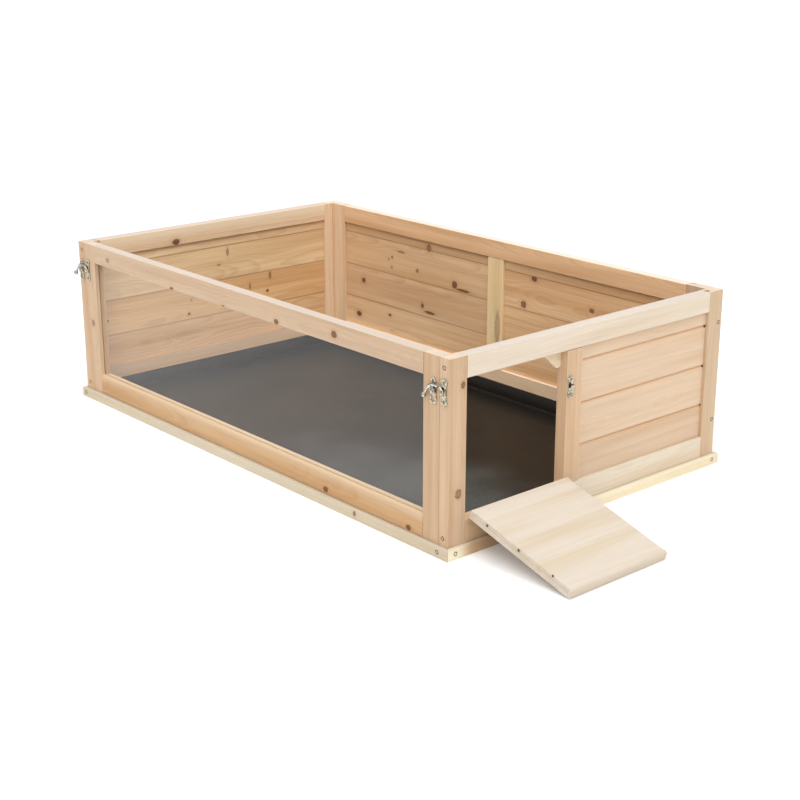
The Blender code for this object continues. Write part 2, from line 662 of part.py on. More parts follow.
def tray_ring(shape, inset, height):
    """One rounded rectangle of the tray, inset from the walls' inner faces."""
    half_x = BODY_LENGTH / 2 - STOCK - inset
    half_y = BODY_DEPTH / 2 - STOCK - inset
    radius = max(TRAY_CORNER_RADIUS - inset, TRAY_SHEET)
    quarter = math.pi / 2
    points = []
    for number, (side_x, side_y) in enumerate(((1, 1), (-1, 1), (-1, -1), (1, -1))):
        centre = (side_x * (half_x - radius), side_y * (half_y - radius))
        points += arc(centre, radius, number * quarter, (number + 1) * quarter)
    return [shape.verts.new((x, y, height)) for x, y in points]


def build_tray():
    """The plastic tray: a flat floor, a foot curve, sloped walls and a flat lip, one sheet thick."""
    top = PLINTH_HEIGHT + TRAY_RIM_RISE
    bottom = FLOOR_THICKNESS + SEAT_GAP
    wall_top = TRAY_RIM_GAP + TRAY_LIP
    wall_foot = wall_top + TRAY_WALL_RUN
    foot = TRAY_FOOT_RADIUS
    sheet = TRAY_SHEET
    knee = foot * (1 - math.cos(math.pi / 4))
    under = [(wall_foot + foot, bottom), (wall_foot + knee, bottom + knee), (wall_foot, bottom + foot),
             (wall_top, top - sheet), (TRAY_RIM_GAP, top - sheet)]
    over = [(TRAY_RIM_GAP, top), (wall_top + sheet, top), (wall_foot + sheet, bottom + foot + sheet),
            (wall_foot + knee + sheet, bottom + knee + sheet), (wall_foot + foot + sheet, bottom + sheet)]
    shape = bmesh.new()
    rings = [tray_ring(shape, inset, height) for inset, height in under + over]
    count = len(rings[0])
    for lower, upper in zip(rings, rings[1:]):
        for step in range(count):
            after = (step + 1) % count
            shape.faces.new((lower[step], lower[after], upper[after], upper[step]))
    shape.faces.new(rings[0])
    shape.faces.new(rings[-1])
    shade_round(add_piece("tray", shape, BLACK_PLASTIC))


def ramp_rest_angle():
    """How far the ramp swings out from closed before its lower corner meets the ground.

    The corner is HINGE_OFFSET outside the pin's axis and the ramp's full length above it when closed.
    """
    height = PLINTH_HEIGHT + SEAT_GAP + HINGE_RISE
    reach = RAMP_FOOT_GAP + RAMP_LENGTH
    lean = math.atan2(HINGE_OFFSET, reach)
    drop = (height - RAMP_GROUND_GAP) / math.hypot(HINGE_OFFSET, reach)
    return lean + math.pi / 2 + math.asin(drop)


def build_ramp():
    """The ramp door, modelled closed in the hinge pin's frame and swung down onto the ground."""
    middle = (DOOR_LEFT + DOOR_RIGHT) / 2
    pivot = (BODY_LENGTH / 2 + HINGE_OFFSET, middle - BODY_DEPTH / 2, PLINTH_HEIGHT + SEAT_GAP + HINGE_RISE)
    axle = frame("ramp_axle", pivot, (0.0, ramp_rest_angle(), 0.0))
    door = frame("ramp_face", (-HINGE_OFFSET, 0.0, 0.0), (0.0, 0.0, math.pi / 2), axle)
    foot, head = RAMP_FOOT_GAP, RAMP_FOOT_GAP + RAMP_LENGTH
    ease, round_end = EDGE_EASE, RAMP_END_ROUND
    thick = RAMP_THICKNESS
    quarter = math.pi / 2
    outline = arc((ease, foot + ease), ease, 2 * quarter, 3 * quarter)
    outline += arc((thick - ease, foot + ease), ease, -quarter, 0.0)
    outline += arc((thick - round_end, head - round_end), round_end, 0.0, quarter)
    outline += arc((ease, head - ease), ease, quarter, 2 * quarter)
    half = RAMP_WIDTH / 2
    ramp = add_piece("ramp_board", prism(outline, "X", -half, half), PALE_PINE, door)
    sides = [sorted((side * (half - REBATE_DEPTH), side * (half + CUT_OVERRUN))) for side in (-1, 1)]
    cut(ramp, boxes(*[((low, thick - REBATE_HEIGHT, foot + REBATE_HINGE_STOP),
                       (high, thick + CUT_OVERRUN, head - REBATE_FREE_STOP)) for low, high in sides]))
    for name, side in (("front", -1), ("rear", 1)):
        add_hinge(name, pivot, axle, side * (half - HINGE_INSET))
    keeper_x, keeper_z = door_keeper_place()
    offset = scaled(KEEPER_OFFSET_SHARES)
    lever_x = keeper_x - offset[0] - middle
    lever_z = keeper_z - offset[1] - HINGE_RISE
    latch = frame("ramp_latch", (lever_x, -SEAT_GAP, lever_z), parent=door)
    add_latch("ramp_latch", latch, LATCH_OPEN_ANGLE)


def leaf_outline(side):
    """The side of a hinge leaf, in the plane square to the pin: a flat strip rolled round the pin.

    The pin's axis is the origin. The flat part lies on the wall side of it, below where the side
    is -1 and above where it is 1.
    """
    outer, inner = KNUCKLE_RADIUS, KNUCKLE_RADIUS - LEAF_THICKNESS
    slit = LEAF_THICKNESS + SEAT_GAP
    end = -math.acos((slit - outer) / outer)
    outline = [(-outer, -HINGE_LEAF_WIDTH)]
    outline += arc((0.0, 0.0), outer, math.pi, end)
    outline += arc((0.0, 0.0), inner, end, math.pi)
    outline += [(-inner, -HINGE_LEAF_WIDTH)]
    return [(x, -side * z) for x, z in outline]


def knuckle_gaps(keeps_even):
    """Boxes that clear the other leaf's knuckles out of a leaf's rolled edge."""
    pitch = HINGE_LENGTH / KNUCKLE_COUNT
    reach = KNUCKLE_RADIUS + KNUCKLE_CLEARANCE
    gaps = []
    for number in range(int(keeps_even), KNUCKLE_COUNT, 2):
        start = -HINGE_LENGTH / 2 + number * pitch - SEAT_GAP / 2
        stop = start + pitch + SEAT_GAP
        if number == 0:
            start -= CUT_OVERRUN
        if number == KNUCKLE_COUNT - 1:
            stop += CUT_OVERRUN
        gaps.append(((-reach, start, -reach), (reach, stop, reach)))
    return boxes(*gaps)


def leaf_screw_holes(side):
    """Two holes through the flat part of a leaf, for its screws."""
    shape = bmesh.new()
    rise = side * (HINGE_LEAF_WIDTH - LEAF_SCREW_EDGE)
    for end in (-1, 1):
        centre = (-KNUCKLE_RADIUS - CUT_OVERRUN, end * (HINGE_LENGTH / 2 - LEAF_SCREW_INSET), rise)
        length = LEAF_THICKNESS + 2 * CUT_OVERRUN
        turned(rod_profile(LEAF_SCREW_RADIUS, length), centre, "+X", shape)
    return shape


def add_hinge(name, pivot, axle, offset):
    """One butt hinge: a fixed leaf on the sill rail, a moving leaf under the ramp, and its pin."""
    still = frame(name + "_hinge", (pivot[0], pivot[1] + offset, pivot[2]))
    moving = frame(name + "_hinge_swing", (0.0, offset, 0.0), parent=axle)
    half = HINGE_LENGTH / 2
    for part, parent, side in (("fixed", still, -1), ("moving", moving, 1)):
        shape = prism(leaf_outline(side), "Y", -half, half)
        leaf = add_piece(f"{name}_hinge_{part}_leaf", shape, NICKEL, parent)
        cut(leaf, knuckle_gaps(side < 0))
        cut(leaf, leaf_screw_holes(side))
        shade_round(leaf)
    profile = eased_rod_profile(HINGE_PIN_RADIUS, HINGE_LENGTH, HINGE_PIN_RADIUS / 3)
    pin = turned(profile, (0.0, -half, 0.0), "+Y")
    shade_round(add_piece(name + "_hinge_pin", pin, NICKEL, still))


def scaled(shares):
    """A place in a latch's outline, from shares of the latch height."""
    return shares[0] * LATCH_HEIGHT, shares[1] * LATCH_HEIGHT


def ear_points(rise, radius, tip, turn):
    """Up the right side of a round ear, over its pointed tip and down its left side."""
    right = arc((0.0, rise), radius, -turn, turn)
    left = [(-x, z) for x, z in reversed(right)]
    return right + [(0.0, tip)] + left


def latch_plate_outline():
    """The latch's back plate: a pointed ear above the hub and a scroll that curls back below it."""
    hub = HUB_SHARE * LATCH_HEIGHT
    centre = scaled(SCROLL_CENTRE_SHARES)
    outer = SCROLL_OUTER_SHARE * LATCH_HEIGHT
    inner = SCROLL_INNER_SHARE * LATCH_HEIGHT
    middle = (outer + inner) / 2
    curl_end = math.radians(-205.0)
    tip = (centre[0] + middle * math.cos(curl_end), centre[1] + middle * math.sin(curl_end))
    outline = arc((0.0, 0.0), hub, math.radians(-45.0), math.radians(55.0))
    ear_rise, ear = EAR_RISE_SHARE * LATCH_HEIGHT, EAR_SHARE * LATCH_HEIGHT
    outline += ear_points(ear_rise, ear, LATCH_HEIGHT / 2, EAR_TURN)
    outline += arc((0.0, 0.0), hub, math.radians(125.0), math.radians(262.0))
    outline += arc(centre, inner, math.radians(62.0), curl_end)
    outline += arc(tip, (outer - inner) / 2, curl_end - math.pi, curl_end)[1:-1]
    outline += arc(centre, outer, curl_end, math.radians(20.0))
    return outline


def lever_outline():
    """The latch's lever: a horn, thick in its belly, on a neck that rises from the round hub."""
    centre = scaled(HORN_CENTRE_SHARES)
    radius = HORN_RADIUS_SHARE * LATCH_HEIGHT
    belly = HORN_BELLY_SHARE * LATCH_HEIGHT
    tip = HORN_TIP_SHARE * LATCH_HEIGHT
    hub = LEVER_HUB_SHARE * LATCH_HEIGHT
    neck = NECK_SHARE * LATCH_HEIGHT
    span = HORN_BALL_ANGLE - HORN_TIP_ANGLE

    def horn_point(angle, side):
        """A point on the horn's outer (1) or inner (-1) edge."""
        swell = math.sin(math.pi * (angle - HORN_TIP_ANGLE) / span)
        reach = radius + side * (tip + (belly - tip) * swell)
        return centre[0] + reach * math.cos(angle), centre[1] + reach * math.sin(angle)

    def horn_edge(start, stop, side):
        """Points along one edge of the horn."""
        steps = max(2, round(abs(stop - start) / (ARC_STEP / 2)))
        return [horn_point(start + (stop - start) * step / steps, side) for step in range(steps + 1)]

    neck_left = math.acos((-neck - centre[0]) / (radius - belly))
    neck_right = math.acos((neck - centre[0]) / (radius - belly))
    hub_left = math.acos(-neck / hub)
    hub_right = math.acos(neck / hub) + 2 * math.pi
    point_angle = HORN_TIP_ANGLE - tip / radius
    point = (centre[0] + radius * math.cos(point_angle), centre[1] + radius * math.sin(point_angle))
    outline = [point]
    outline += horn_edge(HORN_TIP_ANGLE, HORN_BALL_ANGLE, 1)
    outline += horn_edge(HORN_BALL_ANGLE, neck_left, -1)
    outline += arc((0.0, 0.0), hub, hub_left, hub_right)
    outline += horn_edge(neck_right, HORN_TIP_ANGLE, -1)
    return outline


def keeper_outline(rise):
    """The keeper's plate: a straight waist, and a pointed round lobe centred that far above and below it."""
    top = ear_points(rise, KEEPER_WIDTH / 2, rise + KEEPER_WIDTH / 2, LOBE_TURN)
    bottom = [(-x, -z) for x, z in top]
    return top + bottom


def add_latch(name, seat, opened=0.0):
    """A horn latch: a plate with its pivot stud, and a lever that turns on the stud.

    The seat is on the pivot's axis, and the keeper is to the right.
    """
    plate_front = LATCH_PLATE_THICKNESS
    boss_front = plate_front + LATCH_BOSS_HEIGHT
    head_back = LEVER_RISE + LEVER_THICKNESS + SEAT_GAP
    plate = add_piece(name + "_plate", prism(latch_plate_outline(), "Y", -plate_front, 0.0), NICKEL, seat)
    stud = [(0.0, plate_front / 2), (LATCH_BOSS_RADIUS, plate_front / 2), (LATCH_BOSS_RADIUS, boss_front),
            (STUD_RADIUS, boss_front), (STUD_RADIUS, head_back)]
    stud += dome_points(STUD_HEAD_RADIUS, head_back, STUD_HEAD_HEIGHT)
    join(plate, turned(stud, (0.0, 0.0, 0.0), "-Y"))
    cut(plate, screw_hole((0.0, EAR_RISE_SHARE * LATCH_HEIGHT)))
    shade_round(plate)
    shape = prism(lever_outline(), "Y", -LEVER_RISE - LEVER_THICKNESS, -LEVER_RISE)
    lever = add_piece(name + "_lever", shape, NICKEL, seat)
    hole = rod_profile(STUD_RADIUS + SEAT_GAP, LEVER_RISE + LEVER_THICKNESS + CUT_OVERRUN)
    cut(lever, turned(hole, (0.0, 0.0, 0.0), "-Y"))
    centre = scaled(HORN_CENTRE_SHARES)
    radius = HORN_RADIUS_SHARE * LATCH_HEIGHT
    ball = (centre[0] + radius * math.cos(HORN_BALL_ANGLE),
            -plate_front - LATCH_BALL_CLEARANCE - LATCH_BALL_RADIUS,
            centre[1] + radius * math.sin(HORN_BALL_ANGLE))
    join(lever, turned(ball_profile(LATCH_BALL_RADIUS), ball, "-Y"))
    lever.rotation_euler = (0.0, -opened, 0.0)
    shade_round(lever)


def screw_hole(place):
    """A cutter for a latch screw's hole through a plate, at an (x, z) place."""
    length = LATCH_PLATE_THICKNESS + 2 * CUT_OVERRUN
    return turned(rod_profile(LATCH_SCREW_RADIUS, length), (place[0], CUT_OVERRUN, place[1]), "-Y")


def add_keeper(name, seat, lobe_rise_share):
    """A keeper: a slotted plate and the hook, bent up beside the slot, that the lever's tip enters."""
    rise = lobe_rise_share * LATCH_HEIGHT
    keeper = add_piece(name, prism(keeper_outline(rise), "Y", -LATCH_PLATE_THICKNESS, 0.0), NICKEL, seat)
    left, right, low, high = (share * LATCH_HEIGHT for share in KEEPER_SLOT_SHARES)
    cut(keeper, boxes(((left, -LATCH_PLATE_THICKNESS - CUT_OVERRUN, low), (right, CUT_OVERRUN, high))))
    leg = LEG_SHARE * LATCH_HEIGHT
    reach = -CAP_REACH_SHARE * LATCH_HEIGHT
    cap_back = LEVER_RISE + LEVER_THICKNESS + HOOK_GAP
    cap_front = cap_back + HOOK_THICKNESS
    root = LATCH_PLATE_THICKNESS / 2
    bend_x, bend_rise = leg - HOOK_BEND, cap_back - HOOK_BEND
    outline = [(leg + HOOK_THICKNESS, root)]
    outline += arc((bend_x, bend_rise), HOOK_BEND + HOOK_THICKNESS, 0.0, math.pi / 2)
    outline += [(reach, cap_front), (reach, cap_back)]
    outline += arc((bend_x, bend_rise), HOOK_BEND, math.pi / 2, 0.0)
    outline += [(leg, root)]
    section = [(x, -outward) for x, outward in outline]
    join(keeper, prism(section, "Z", -HOOK_HEIGHT / 2, HOOK_HEIGHT / 2))
    for side in (-1, 1):
        cut(keeper, screw_hole((0.0, side * rise)))
    shade_round(keeper)


def main():
    """Build the enclosure from the ground up."""
    clear_scene()
    build_base()
    build_left_wall()
    build_back_wall()
    build_right_wall()
    build_front_wall()
    build_front_catches()
    build_tray()
    build_ramp()


main()
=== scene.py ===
"""Looks of the gerbil enclosure: timber, clear window, plastic tray, plated latches and a pale studio.

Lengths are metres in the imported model's own frame: +X towards the ramp door, +Y from the window to
the back wall, +Z up from the ground. A tuple called a span is where a number starts and stops its
rise, followed by the values it then has, if they aren't 0 and 1.
"""
import json
import logging
import math
from dataclasses import dataclass, field, replace
from enum import Enum

import bmesh
import bpy
import numpy as np
from mathutils import Matrix, Vector


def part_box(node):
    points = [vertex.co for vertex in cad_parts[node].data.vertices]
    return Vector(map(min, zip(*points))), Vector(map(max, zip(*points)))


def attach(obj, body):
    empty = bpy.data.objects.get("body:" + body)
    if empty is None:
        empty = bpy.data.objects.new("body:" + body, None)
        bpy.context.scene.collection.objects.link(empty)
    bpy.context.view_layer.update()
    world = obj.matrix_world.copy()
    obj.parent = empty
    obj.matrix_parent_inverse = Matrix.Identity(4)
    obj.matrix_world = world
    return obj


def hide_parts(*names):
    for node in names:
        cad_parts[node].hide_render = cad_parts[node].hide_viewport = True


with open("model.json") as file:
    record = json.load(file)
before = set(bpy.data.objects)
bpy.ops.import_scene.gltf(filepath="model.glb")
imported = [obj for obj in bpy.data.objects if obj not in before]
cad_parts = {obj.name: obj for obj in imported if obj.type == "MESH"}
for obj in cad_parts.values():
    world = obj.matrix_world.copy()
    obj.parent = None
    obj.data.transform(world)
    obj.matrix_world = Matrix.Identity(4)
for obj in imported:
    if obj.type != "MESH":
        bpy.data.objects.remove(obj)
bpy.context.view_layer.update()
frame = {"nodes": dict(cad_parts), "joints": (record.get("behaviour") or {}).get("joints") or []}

JOINTS = {joint["name"]: joint for joint in frame["joints"]}
LOG = logging.getLogger("gerbil_enclosure")

Colour = tuple[float, float, float]
Point = tuple[float, float, float]
Span = tuple[float, float] | tuple[float, float, float, float]
Socket = bpy.types.NodeSocket
Shell = tuple[np.ndarray, Point | None, Point | None]
Spot = tuple[Point, Point, str]

EAST: Point = (1.0, 0.0, 0.0)
WEST: Point = (-1.0, 0.0, 0.0)
NORTH: Point = (0.0, 1.0, 0.0)
SOUTH: Point = (0.0, -1.0, 0.0)
UP: Point = (0.0, 0.0, 1.0)
# The ramp latch's axis points up out of the ramp as it lies at rest. From it come the way down the
# ramp and the way out of its underside.
AXIS_X, _, AXIS_Z = JOINTS["ramp_latch_turn"]["axis"]
DOWN_RAMP: Point = (AXIS_Z, 0.0, -AXIS_X)
UNDER_RAMP: Point = (-AXIS_X, 0.0, -AXIS_Z)
# The model's origin, in millimetres from the wall box's front left corner on the plinth.
MODEL_ORIGIN = (450.0, 270.0, -15.0)
MILLIMETRES = 1000.0
NOISE_MEAN = 0.5


def tone(red: int, green: int, blue: int) -> Colour:
    """Linear colour of a screen colour, by the usual screen curve: ((c + 0.055) / 1.055) ** 2.4.

    Args:
        red: Red from 0 to 255.
        green: Green from 0 to 255.
        blue: Blue from 0 to 255.

    Returns:
        The three linear values.
    """
    shares = (value / 255 for value in (red, green, blue))
    return tuple(((share + 0.055) / 1.055) ** 2.4 if share > 0.04045 else share / 12.92 for share in shares)


def at(x: float, y: float, z: float) -> Point:
    """A place from millimetres along the long side, back from the window and up from the plinth."""
    return tuple((value - origin) / MILLIMETRES for value, origin in zip((x, y, z), MODEL_ORIGIN))


def full_turn(steps: int) -> np.ndarray:
    """Even angles round one full turn, from 0."""
    return np.linspace(0.0, 2 * np.pi, steps, endpoint=False)


class Grain(Enum):
    """The axis that a piece's grain follows, with the turn that lays it along X."""

    ALONG_X = (0.0, 0.0, 0.0)
    ALONG_Y = (0.0, 0.0, -math.pi / 2)
    ALONG_Z = (0.0, math.pi / 2, 0.0)

    def matrix(self) -> Matrix:
        """The turn as a matrix: about X, then Y, then Z.

        Returns:
            The matrix, three by three.
        """
        turn = Matrix.Identity(3)
        for axis, angle in zip("XYZ", self.value):
            turn = Matrix.Rotation(angle, 3, axis) @ turn
        return turn


class Face(Enum):
    """The pair of faces of a piece that its knots run through, as the axis they look along."""

    END = (1.0, 0.0, 0.0)
    SIDE = (0.0, 1.0, 0.0)
    TOP = (0.0, 0.0, 1.0)


class Bench:
    """Places and wires nodes in one node tree."""

    def __init__(self, tree: bpy.types.NodeTree) -> None:
        """Start from an empty tree."""
        self.tree = tree
        tree.nodes.clear()

    def add(self, kind: str, **settings: object) -> bpy.types.Node:
        """Add a node.

        Args:
            kind: The node's type name, without the common prefix.
            settings: Attributes to set on it.

        Returns:
            The new node.
        """
        node = self.tree.nodes.new("ShaderNode" + kind)
        for name, value in settings.items():
            setattr(node, name, value)
        return node

    def feed(self, socket: Socket, value: object) -> None:
        """Give a socket its value.

        Args:
            socket: The input.
            value: A socket to link, a number, or three numbers, which are opaque as a colour.
        """
        if isinstance(value, Socket):
            self.tree.links.new(value, socket)
        elif isinstance(value, tuple) and len(value) == 3 and socket.type == "RGBA":
            socket.default_value = (*value, 1.0)
        else:
            socket.default_value = value

    def fill(self, node: bpy.types.Node, values: dict[str | int, object]) -> bpy.types.Node:
        """Feed a node's inputs.

        Args:
            node: The node.
            values: What to feed, by the input's name or number.

        Returns:
            The same node.
        """
        for label, value in values.items():
            self.feed(node.inputs[label], value)
        return node

    def math(self, operation: str, *values: object) -> Socket:
        """Work on numbers with one Math node."""
        return self.fill(self.add("Math", operation=operation), dict(enumerate(values))).outputs[0]

    def times(self, first: object, second: object) -> Socket:
        """The product of two numbers."""
        return self.math("MULTIPLY", first, second)

    def plus(self, first: object, second: object) -> Socket:
        """The sum of two numbers."""
        return self.math("ADD", first, second)

    def vector(self, operation: str, *values: object) -> Socket:
        """Work on vectors with one Vector Math node."""
        node = self.fill(self.add("VectorMath", operation=operation), dict(enumerate(values)))
        return node.outputs["Value" if operation == "LENGTH" else "Vector"]

    def combine(self, x: object, y: object, z: object) -> Socket:
        """Make a vector of three numbers."""
        return self.fill(self.add("CombineXYZ"), {0: x, 1: y, 2: z}).outputs[0]

    def axes(self, vector: Socket) -> bpy.types.bpy_prop_collection:
        """The x, y and z of a vector."""
        return self.fill(self.add("SeparateXYZ"), {0: vector}).outputs

    def place(self) -> Socket:
        """The place on the object, in metres."""
        return self.add("TexCoord").outputs["Object"]

    def noise(self, place: Socket, scale: float = 1.0, detail: float = 2.0, colour: bool = False) -> Socket:
        """Sample smooth noise.

        Args:
            place: Where to sample it.
            scale: How fine it is.
            detail: How many finer layers it has.
            colour: Whether to return three values in place of one.

        Returns:
            The noise, about 0.5 on average.
        """
        node = self.fill(self.add("TexNoise"), {"Vector": place, "Scale": scale, "Detail": detail})
        return node.outputs["Color" if colour else "Fac"]

    def span(self, value: object, low: float, high: float, start: float = 0.0, stop: float = 1.0) -> Socket:
        """Ease a number from start to stop as it goes from low to high.

        Args:
            value: The number.
            low: Where the ease begins.
            high: Where it ends, which may be the lesser of the two.
            start: The result at low.
            stop: The result at high.

        Returns:
            The eased number.
        """
        node = self.add("MapRange", interpolation_type="SMOOTHSTEP")
        return self.fill(node, {"Value": value, "From Min": low, "From Max": high, "To Min": start,
                                "To Max": stop}).outputs["Result"]

    def blend(self, share: object, first: object, second: object, mode: str = "MIX") -> Socket:
        """Mix two colours with one Mix node, which takes colours at inputs 6 and 7."""
        node = self.add("Mix", data_type="RGBA", blend_type=mode)
        return self.fill(node, {0: share, 6: first, 7: second}).outputs[2]

    def bump(self, height: Socket, depth: float, strength: float) -> Socket:
        """Turn a height into a normal.

        Args:
            height: The height, from 0 to 1.
            depth: How many metres a height of 1 is.
            strength: How much of it shows.

        Returns:
            The normal.
        """
        node = self.fill(self.add("Bump"), {"Height": height, "Distance": depth, "Strength": strength})
        return node.outputs["Normal"]

    def surface(self, shader: bpy.types.Node) -> None:
        """Send a shader to the material's output."""
        self.fill(self.add("OutputMaterial"), {"Surface": shader.outputs[0]})


def new_finish(name: str) -> tuple[bpy.types.Material, Bench]:
    """Start a material.

    Args:
        name: Its name.

    Returns:
        The material and the bench of its empty node tree.
    """
    material = bpy.data.materials.new(name)
    material.use_nodes = True
    return material, Bench(material.node_tree)


def group_tree(name: str, inputs: dict[str, str], outputs: dict[str, str]) -> tuple[Bench, dict, dict]:
    """Start a node group.

    Args:
        name: The group's name.
        inputs: Kind of each input socket, by name.
        outputs: Kind of each output socket, by name.

    Returns:
        The bench, the input sockets inside the group and the output sockets inside it.
    """
    tree = bpy.data.node_groups.new(name, "ShaderNodeTree")
    bench = Bench(tree)
    for sockets, side in ((inputs, "INPUT"), (outputs, "OUTPUT")):
        for label, kind in sockets.items():
            tree.interface.new_socket(label, in_out=side, socket_type="NodeSocket" + kind)
    enter = tree.nodes.new("NodeGroupInput")
    leave = tree.nodes.new("NodeGroupOutput")
    given = {label: enter.outputs[label] for label in inputs}
    return bench, given, {label: leave.inputs[label] for label in outputs}


@dataclass(frozen=True)
class KnotPattern:
    """The node group of one knot. Its distances are in knot radii."""

    wobble_scale: float = 420.0
    wobble: float = 1.1
    swell_reach: float = 1.9
    core: Span = (1.15, 0.8)
    rim_inside: Span = (0.45, 0.9)
    rim_outside: Span = (1.35, 0.95)
    heart_rings: float = 2.4

    def group(self) -> bpy.types.NodeTree:
        """A round core whose distance is the length of (place - centre) * reach, wobbled by noise.

        Swell falls off as exp(-(distance / swell_reach) ** 2) and pushes the rings aside. Core is 1
        inside the knot, Rim is 1 in the dark bark around it, and Heart is the knot's own small rings.

        Returns:
            The group.
        """
        bench, given, result = group_tree(
            "knot", {"Place": "Vector", "Centre": "Vector", "Reach": "Vector"},
            {"Swell": "Float", "Core": "Float", "Rim": "Float", "Heart": "Float"})
        offset = bench.vector("SUBTRACT", given["Place"], given["Centre"])
        distance = bench.vector("LENGTH", bench.vector("MULTIPLY", offset, given["Reach"]))
        noise = bench.math("SUBTRACT", bench.noise(given["Place"], self.wobble_scale), NOISE_MEAN)
        worn = bench.plus(distance, bench.times(noise, self.wobble))
        fall = bench.math("POWER", bench.math("DIVIDE", distance, self.swell_reach), 2.0)
        bench.feed(result["Swell"], bench.math("EXPONENT", bench.times(fall, -1.0)))
        bench.feed(result["Core"], bench.span(worn, *self.core))
        rim = bench.times(bench.span(worn, *self.rim_inside), bench.span(worn, *self.rim_outside))
        bench.feed(result["Rim"], rim)
        bench.feed(result["Heart"], bench.math("FRACT", bench.times(worn, self.heart_rings)))
        return bench.tree


@dataclass(frozen=True)
class SoftwoodPattern:
    """The node group of sawn softwood. A stretch is how fine a noise is along and across the grain."""

    shift_across: float = 1.7
    shift_deep: float = 0.6
    wander_stretch: tuple[float, float] = (4.5, 9.0)
    wander: float = 0.022
    lean_deep: float = -0.6
    jitter_stretch: tuple[float, float] = (14.0, 160.0)
    jitter: float = 0.0007
    late_rise: Span = (0.1, 0.92)
    late_power: float = 1.6
    late_drop: Span = (1.0, 0.94)
    year_step: float = 0.83
    year_depth: Span = (0.25, 0.75, 0.35, 1.0)
    streak_stretch: tuple[float, float] = (7.0, 240.0)
    fibre_stretch: tuple[float, float] = (40.0, 1500.0)
    patch_stretch: tuple[float, float] = (2.2, 42.0)
    patch_spread: Span = (0.38, 0.68)
    base_grey: float = 0.92
    fibre_grey: float = 0.16
    fibre_height: float = 0.5
    late_height: float = 0.35
    streak_height: float = 0.3

    def group(self) -> bpy.types.NodeTree:
        """A solid pattern of growth rings round a pith that runs along the grain.

        The ring distance is the length of (across - pith + tilt * along + wander), plus Push beside
        the knots. Each ring darkens slowly to its late wood and drops back at once, and fibres,
        streaks and broad patches drawn out along the grain lie over the rings.

        Returns:
            The group.
        """
        bench, given, result = group_tree(
            "softwood",
            {"Place": "Vector", "Pith": "Vector", "Seed": "Float", "Tilt": "Float", "Push": "Float",
             "Ring": "Float", "Early": "Color", "Late": "Color", "Patch": "Color", "Contrast": "Float",
             "Streaks": "Float"},
            {"Colour": "Color", "Height": "Float", "Streak": "Float"})
        along, across, depth = bench.axes(given["Place"])
        seed, tilt = given["Seed"], given["Tilt"]
        shift = bench.combine(seed, bench.times(seed, self.shift_across), bench.times(seed, self.shift_deep))

        def drawn_out(stretch: tuple[float, float], detail: float, colour: bool = False) -> Socket:
            """Noise drawn out along the grain."""
            spot = bench.vector("MULTIPLY", given["Place"], (stretch[0], stretch[1], stretch[1]))
            return bench.noise(bench.vector("ADD", spot, shift), detail=detail, colour=colour)

        wander = drawn_out(self.wander_stretch, 2.0, colour=True)
        wander = bench.vector("SUBTRACT", wander, (NOISE_MEAN,) * 3)
        deep = bench.times(along, bench.times(tilt, self.lean_deep))
        lean = bench.combine(0.0, bench.times(along, tilt), deep)
        spot = bench.vector("SUBTRACT", bench.combine(0.0, across, depth), given["Pith"])
        spot = bench.vector("ADD", spot, lean)
        spot = bench.vector("ADD", spot, bench.vector("MULTIPLY", wander, (0.0, self.wander, self.wander)))
        jitter = bench.times(drawn_out(self.jitter_stretch, 2.0), self.jitter)
        reach = bench.plus(bench.vector("LENGTH", spot), bench.plus(given["Push"], jitter))
        phase = bench.math("DIVIDE", reach, given["Ring"])
        share = bench.math("FRACT", phase)
        rise = bench.math("POWER", bench.span(share, *self.late_rise), self.late_power)
        late = bench.times(rise, bench.span(share, *self.late_drop))
        year = bench.noise(bench.combine(bench.math("FLOOR", phase), seed, 0.0), self.year_step, 0.0)
        late = bench.times(late, bench.span(year, *self.year_depth))
        late = bench.times(late, given["Contrast"])
        streak = drawn_out(self.streak_stretch, 4.0)
        fibre = drawn_out(self.fibre_stretch, 3.0)
        patch = drawn_out(self.patch_stretch, 3.0)
        colour = bench.blend(bench.span(patch, *self.patch_spread), given["Early"], given["Patch"])
        colour = bench.blend(late, colour, given["Late"])
        grey = bench.times(bench.math("SUBTRACT", streak, NOISE_MEAN), given["Streaks"])
        grey = bench.plus(grey, bench.times(fibre, self.fibre_grey))
        grey = bench.plus(grey, self.base_grey)
        bench.feed(result["Colour"], bench.blend(1.0, colour, bench.combine(grey, grey, grey), "MULTIPLY"))
        height = bench.plus(bench.times(fibre, self.fibre_height), bench.times(late, self.late_height))
        bench.feed(result["Height"], bench.plus(height, bench.times(streak, self.streak_height)))
        bench.feed(result["Streak"], streak)
        return bench.tree


@dataclass(frozen=True)
class Knot:
    """A knot that runs through a board: where it shows, its radius and its stretch across and along."""

    place: Point
    radius: float
    tall: float = 1.0
    dark: float = 1.0
    long: float = 1.25


@dataclass(frozen=True)
class Cut:
    """How one timber piece is cut from its log.

    Fields are the piece's node, the axis of its grain, the faces that its knots run through, the
    number that picks its part of the log, its knots, and the heights where it meets its neighbours.
    """

    node: str
    grain: Grain
    face: Face
    seed: int
    knots: tuple[Knot, ...]
    joints: tuple[float, ...] = ()

    def box(self) -> tuple[Vector, Vector]:
        """The piece's lowest and highest corners."""
        low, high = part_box(self.node)
        return Vector(low), Vector(high)

    def middle(self) -> Vector:
        """The middle of the piece's box, which centres its pattern."""
        low, high = self.box()
        return (low + high) / 2

    def look(self) -> Vector:
        """The way its knots run, once its grain is laid along X."""
        ahead = (self.grain.matrix() @ Vector(self.face.value)).normalized()
        return Vector([abs(value) for value in ahead])


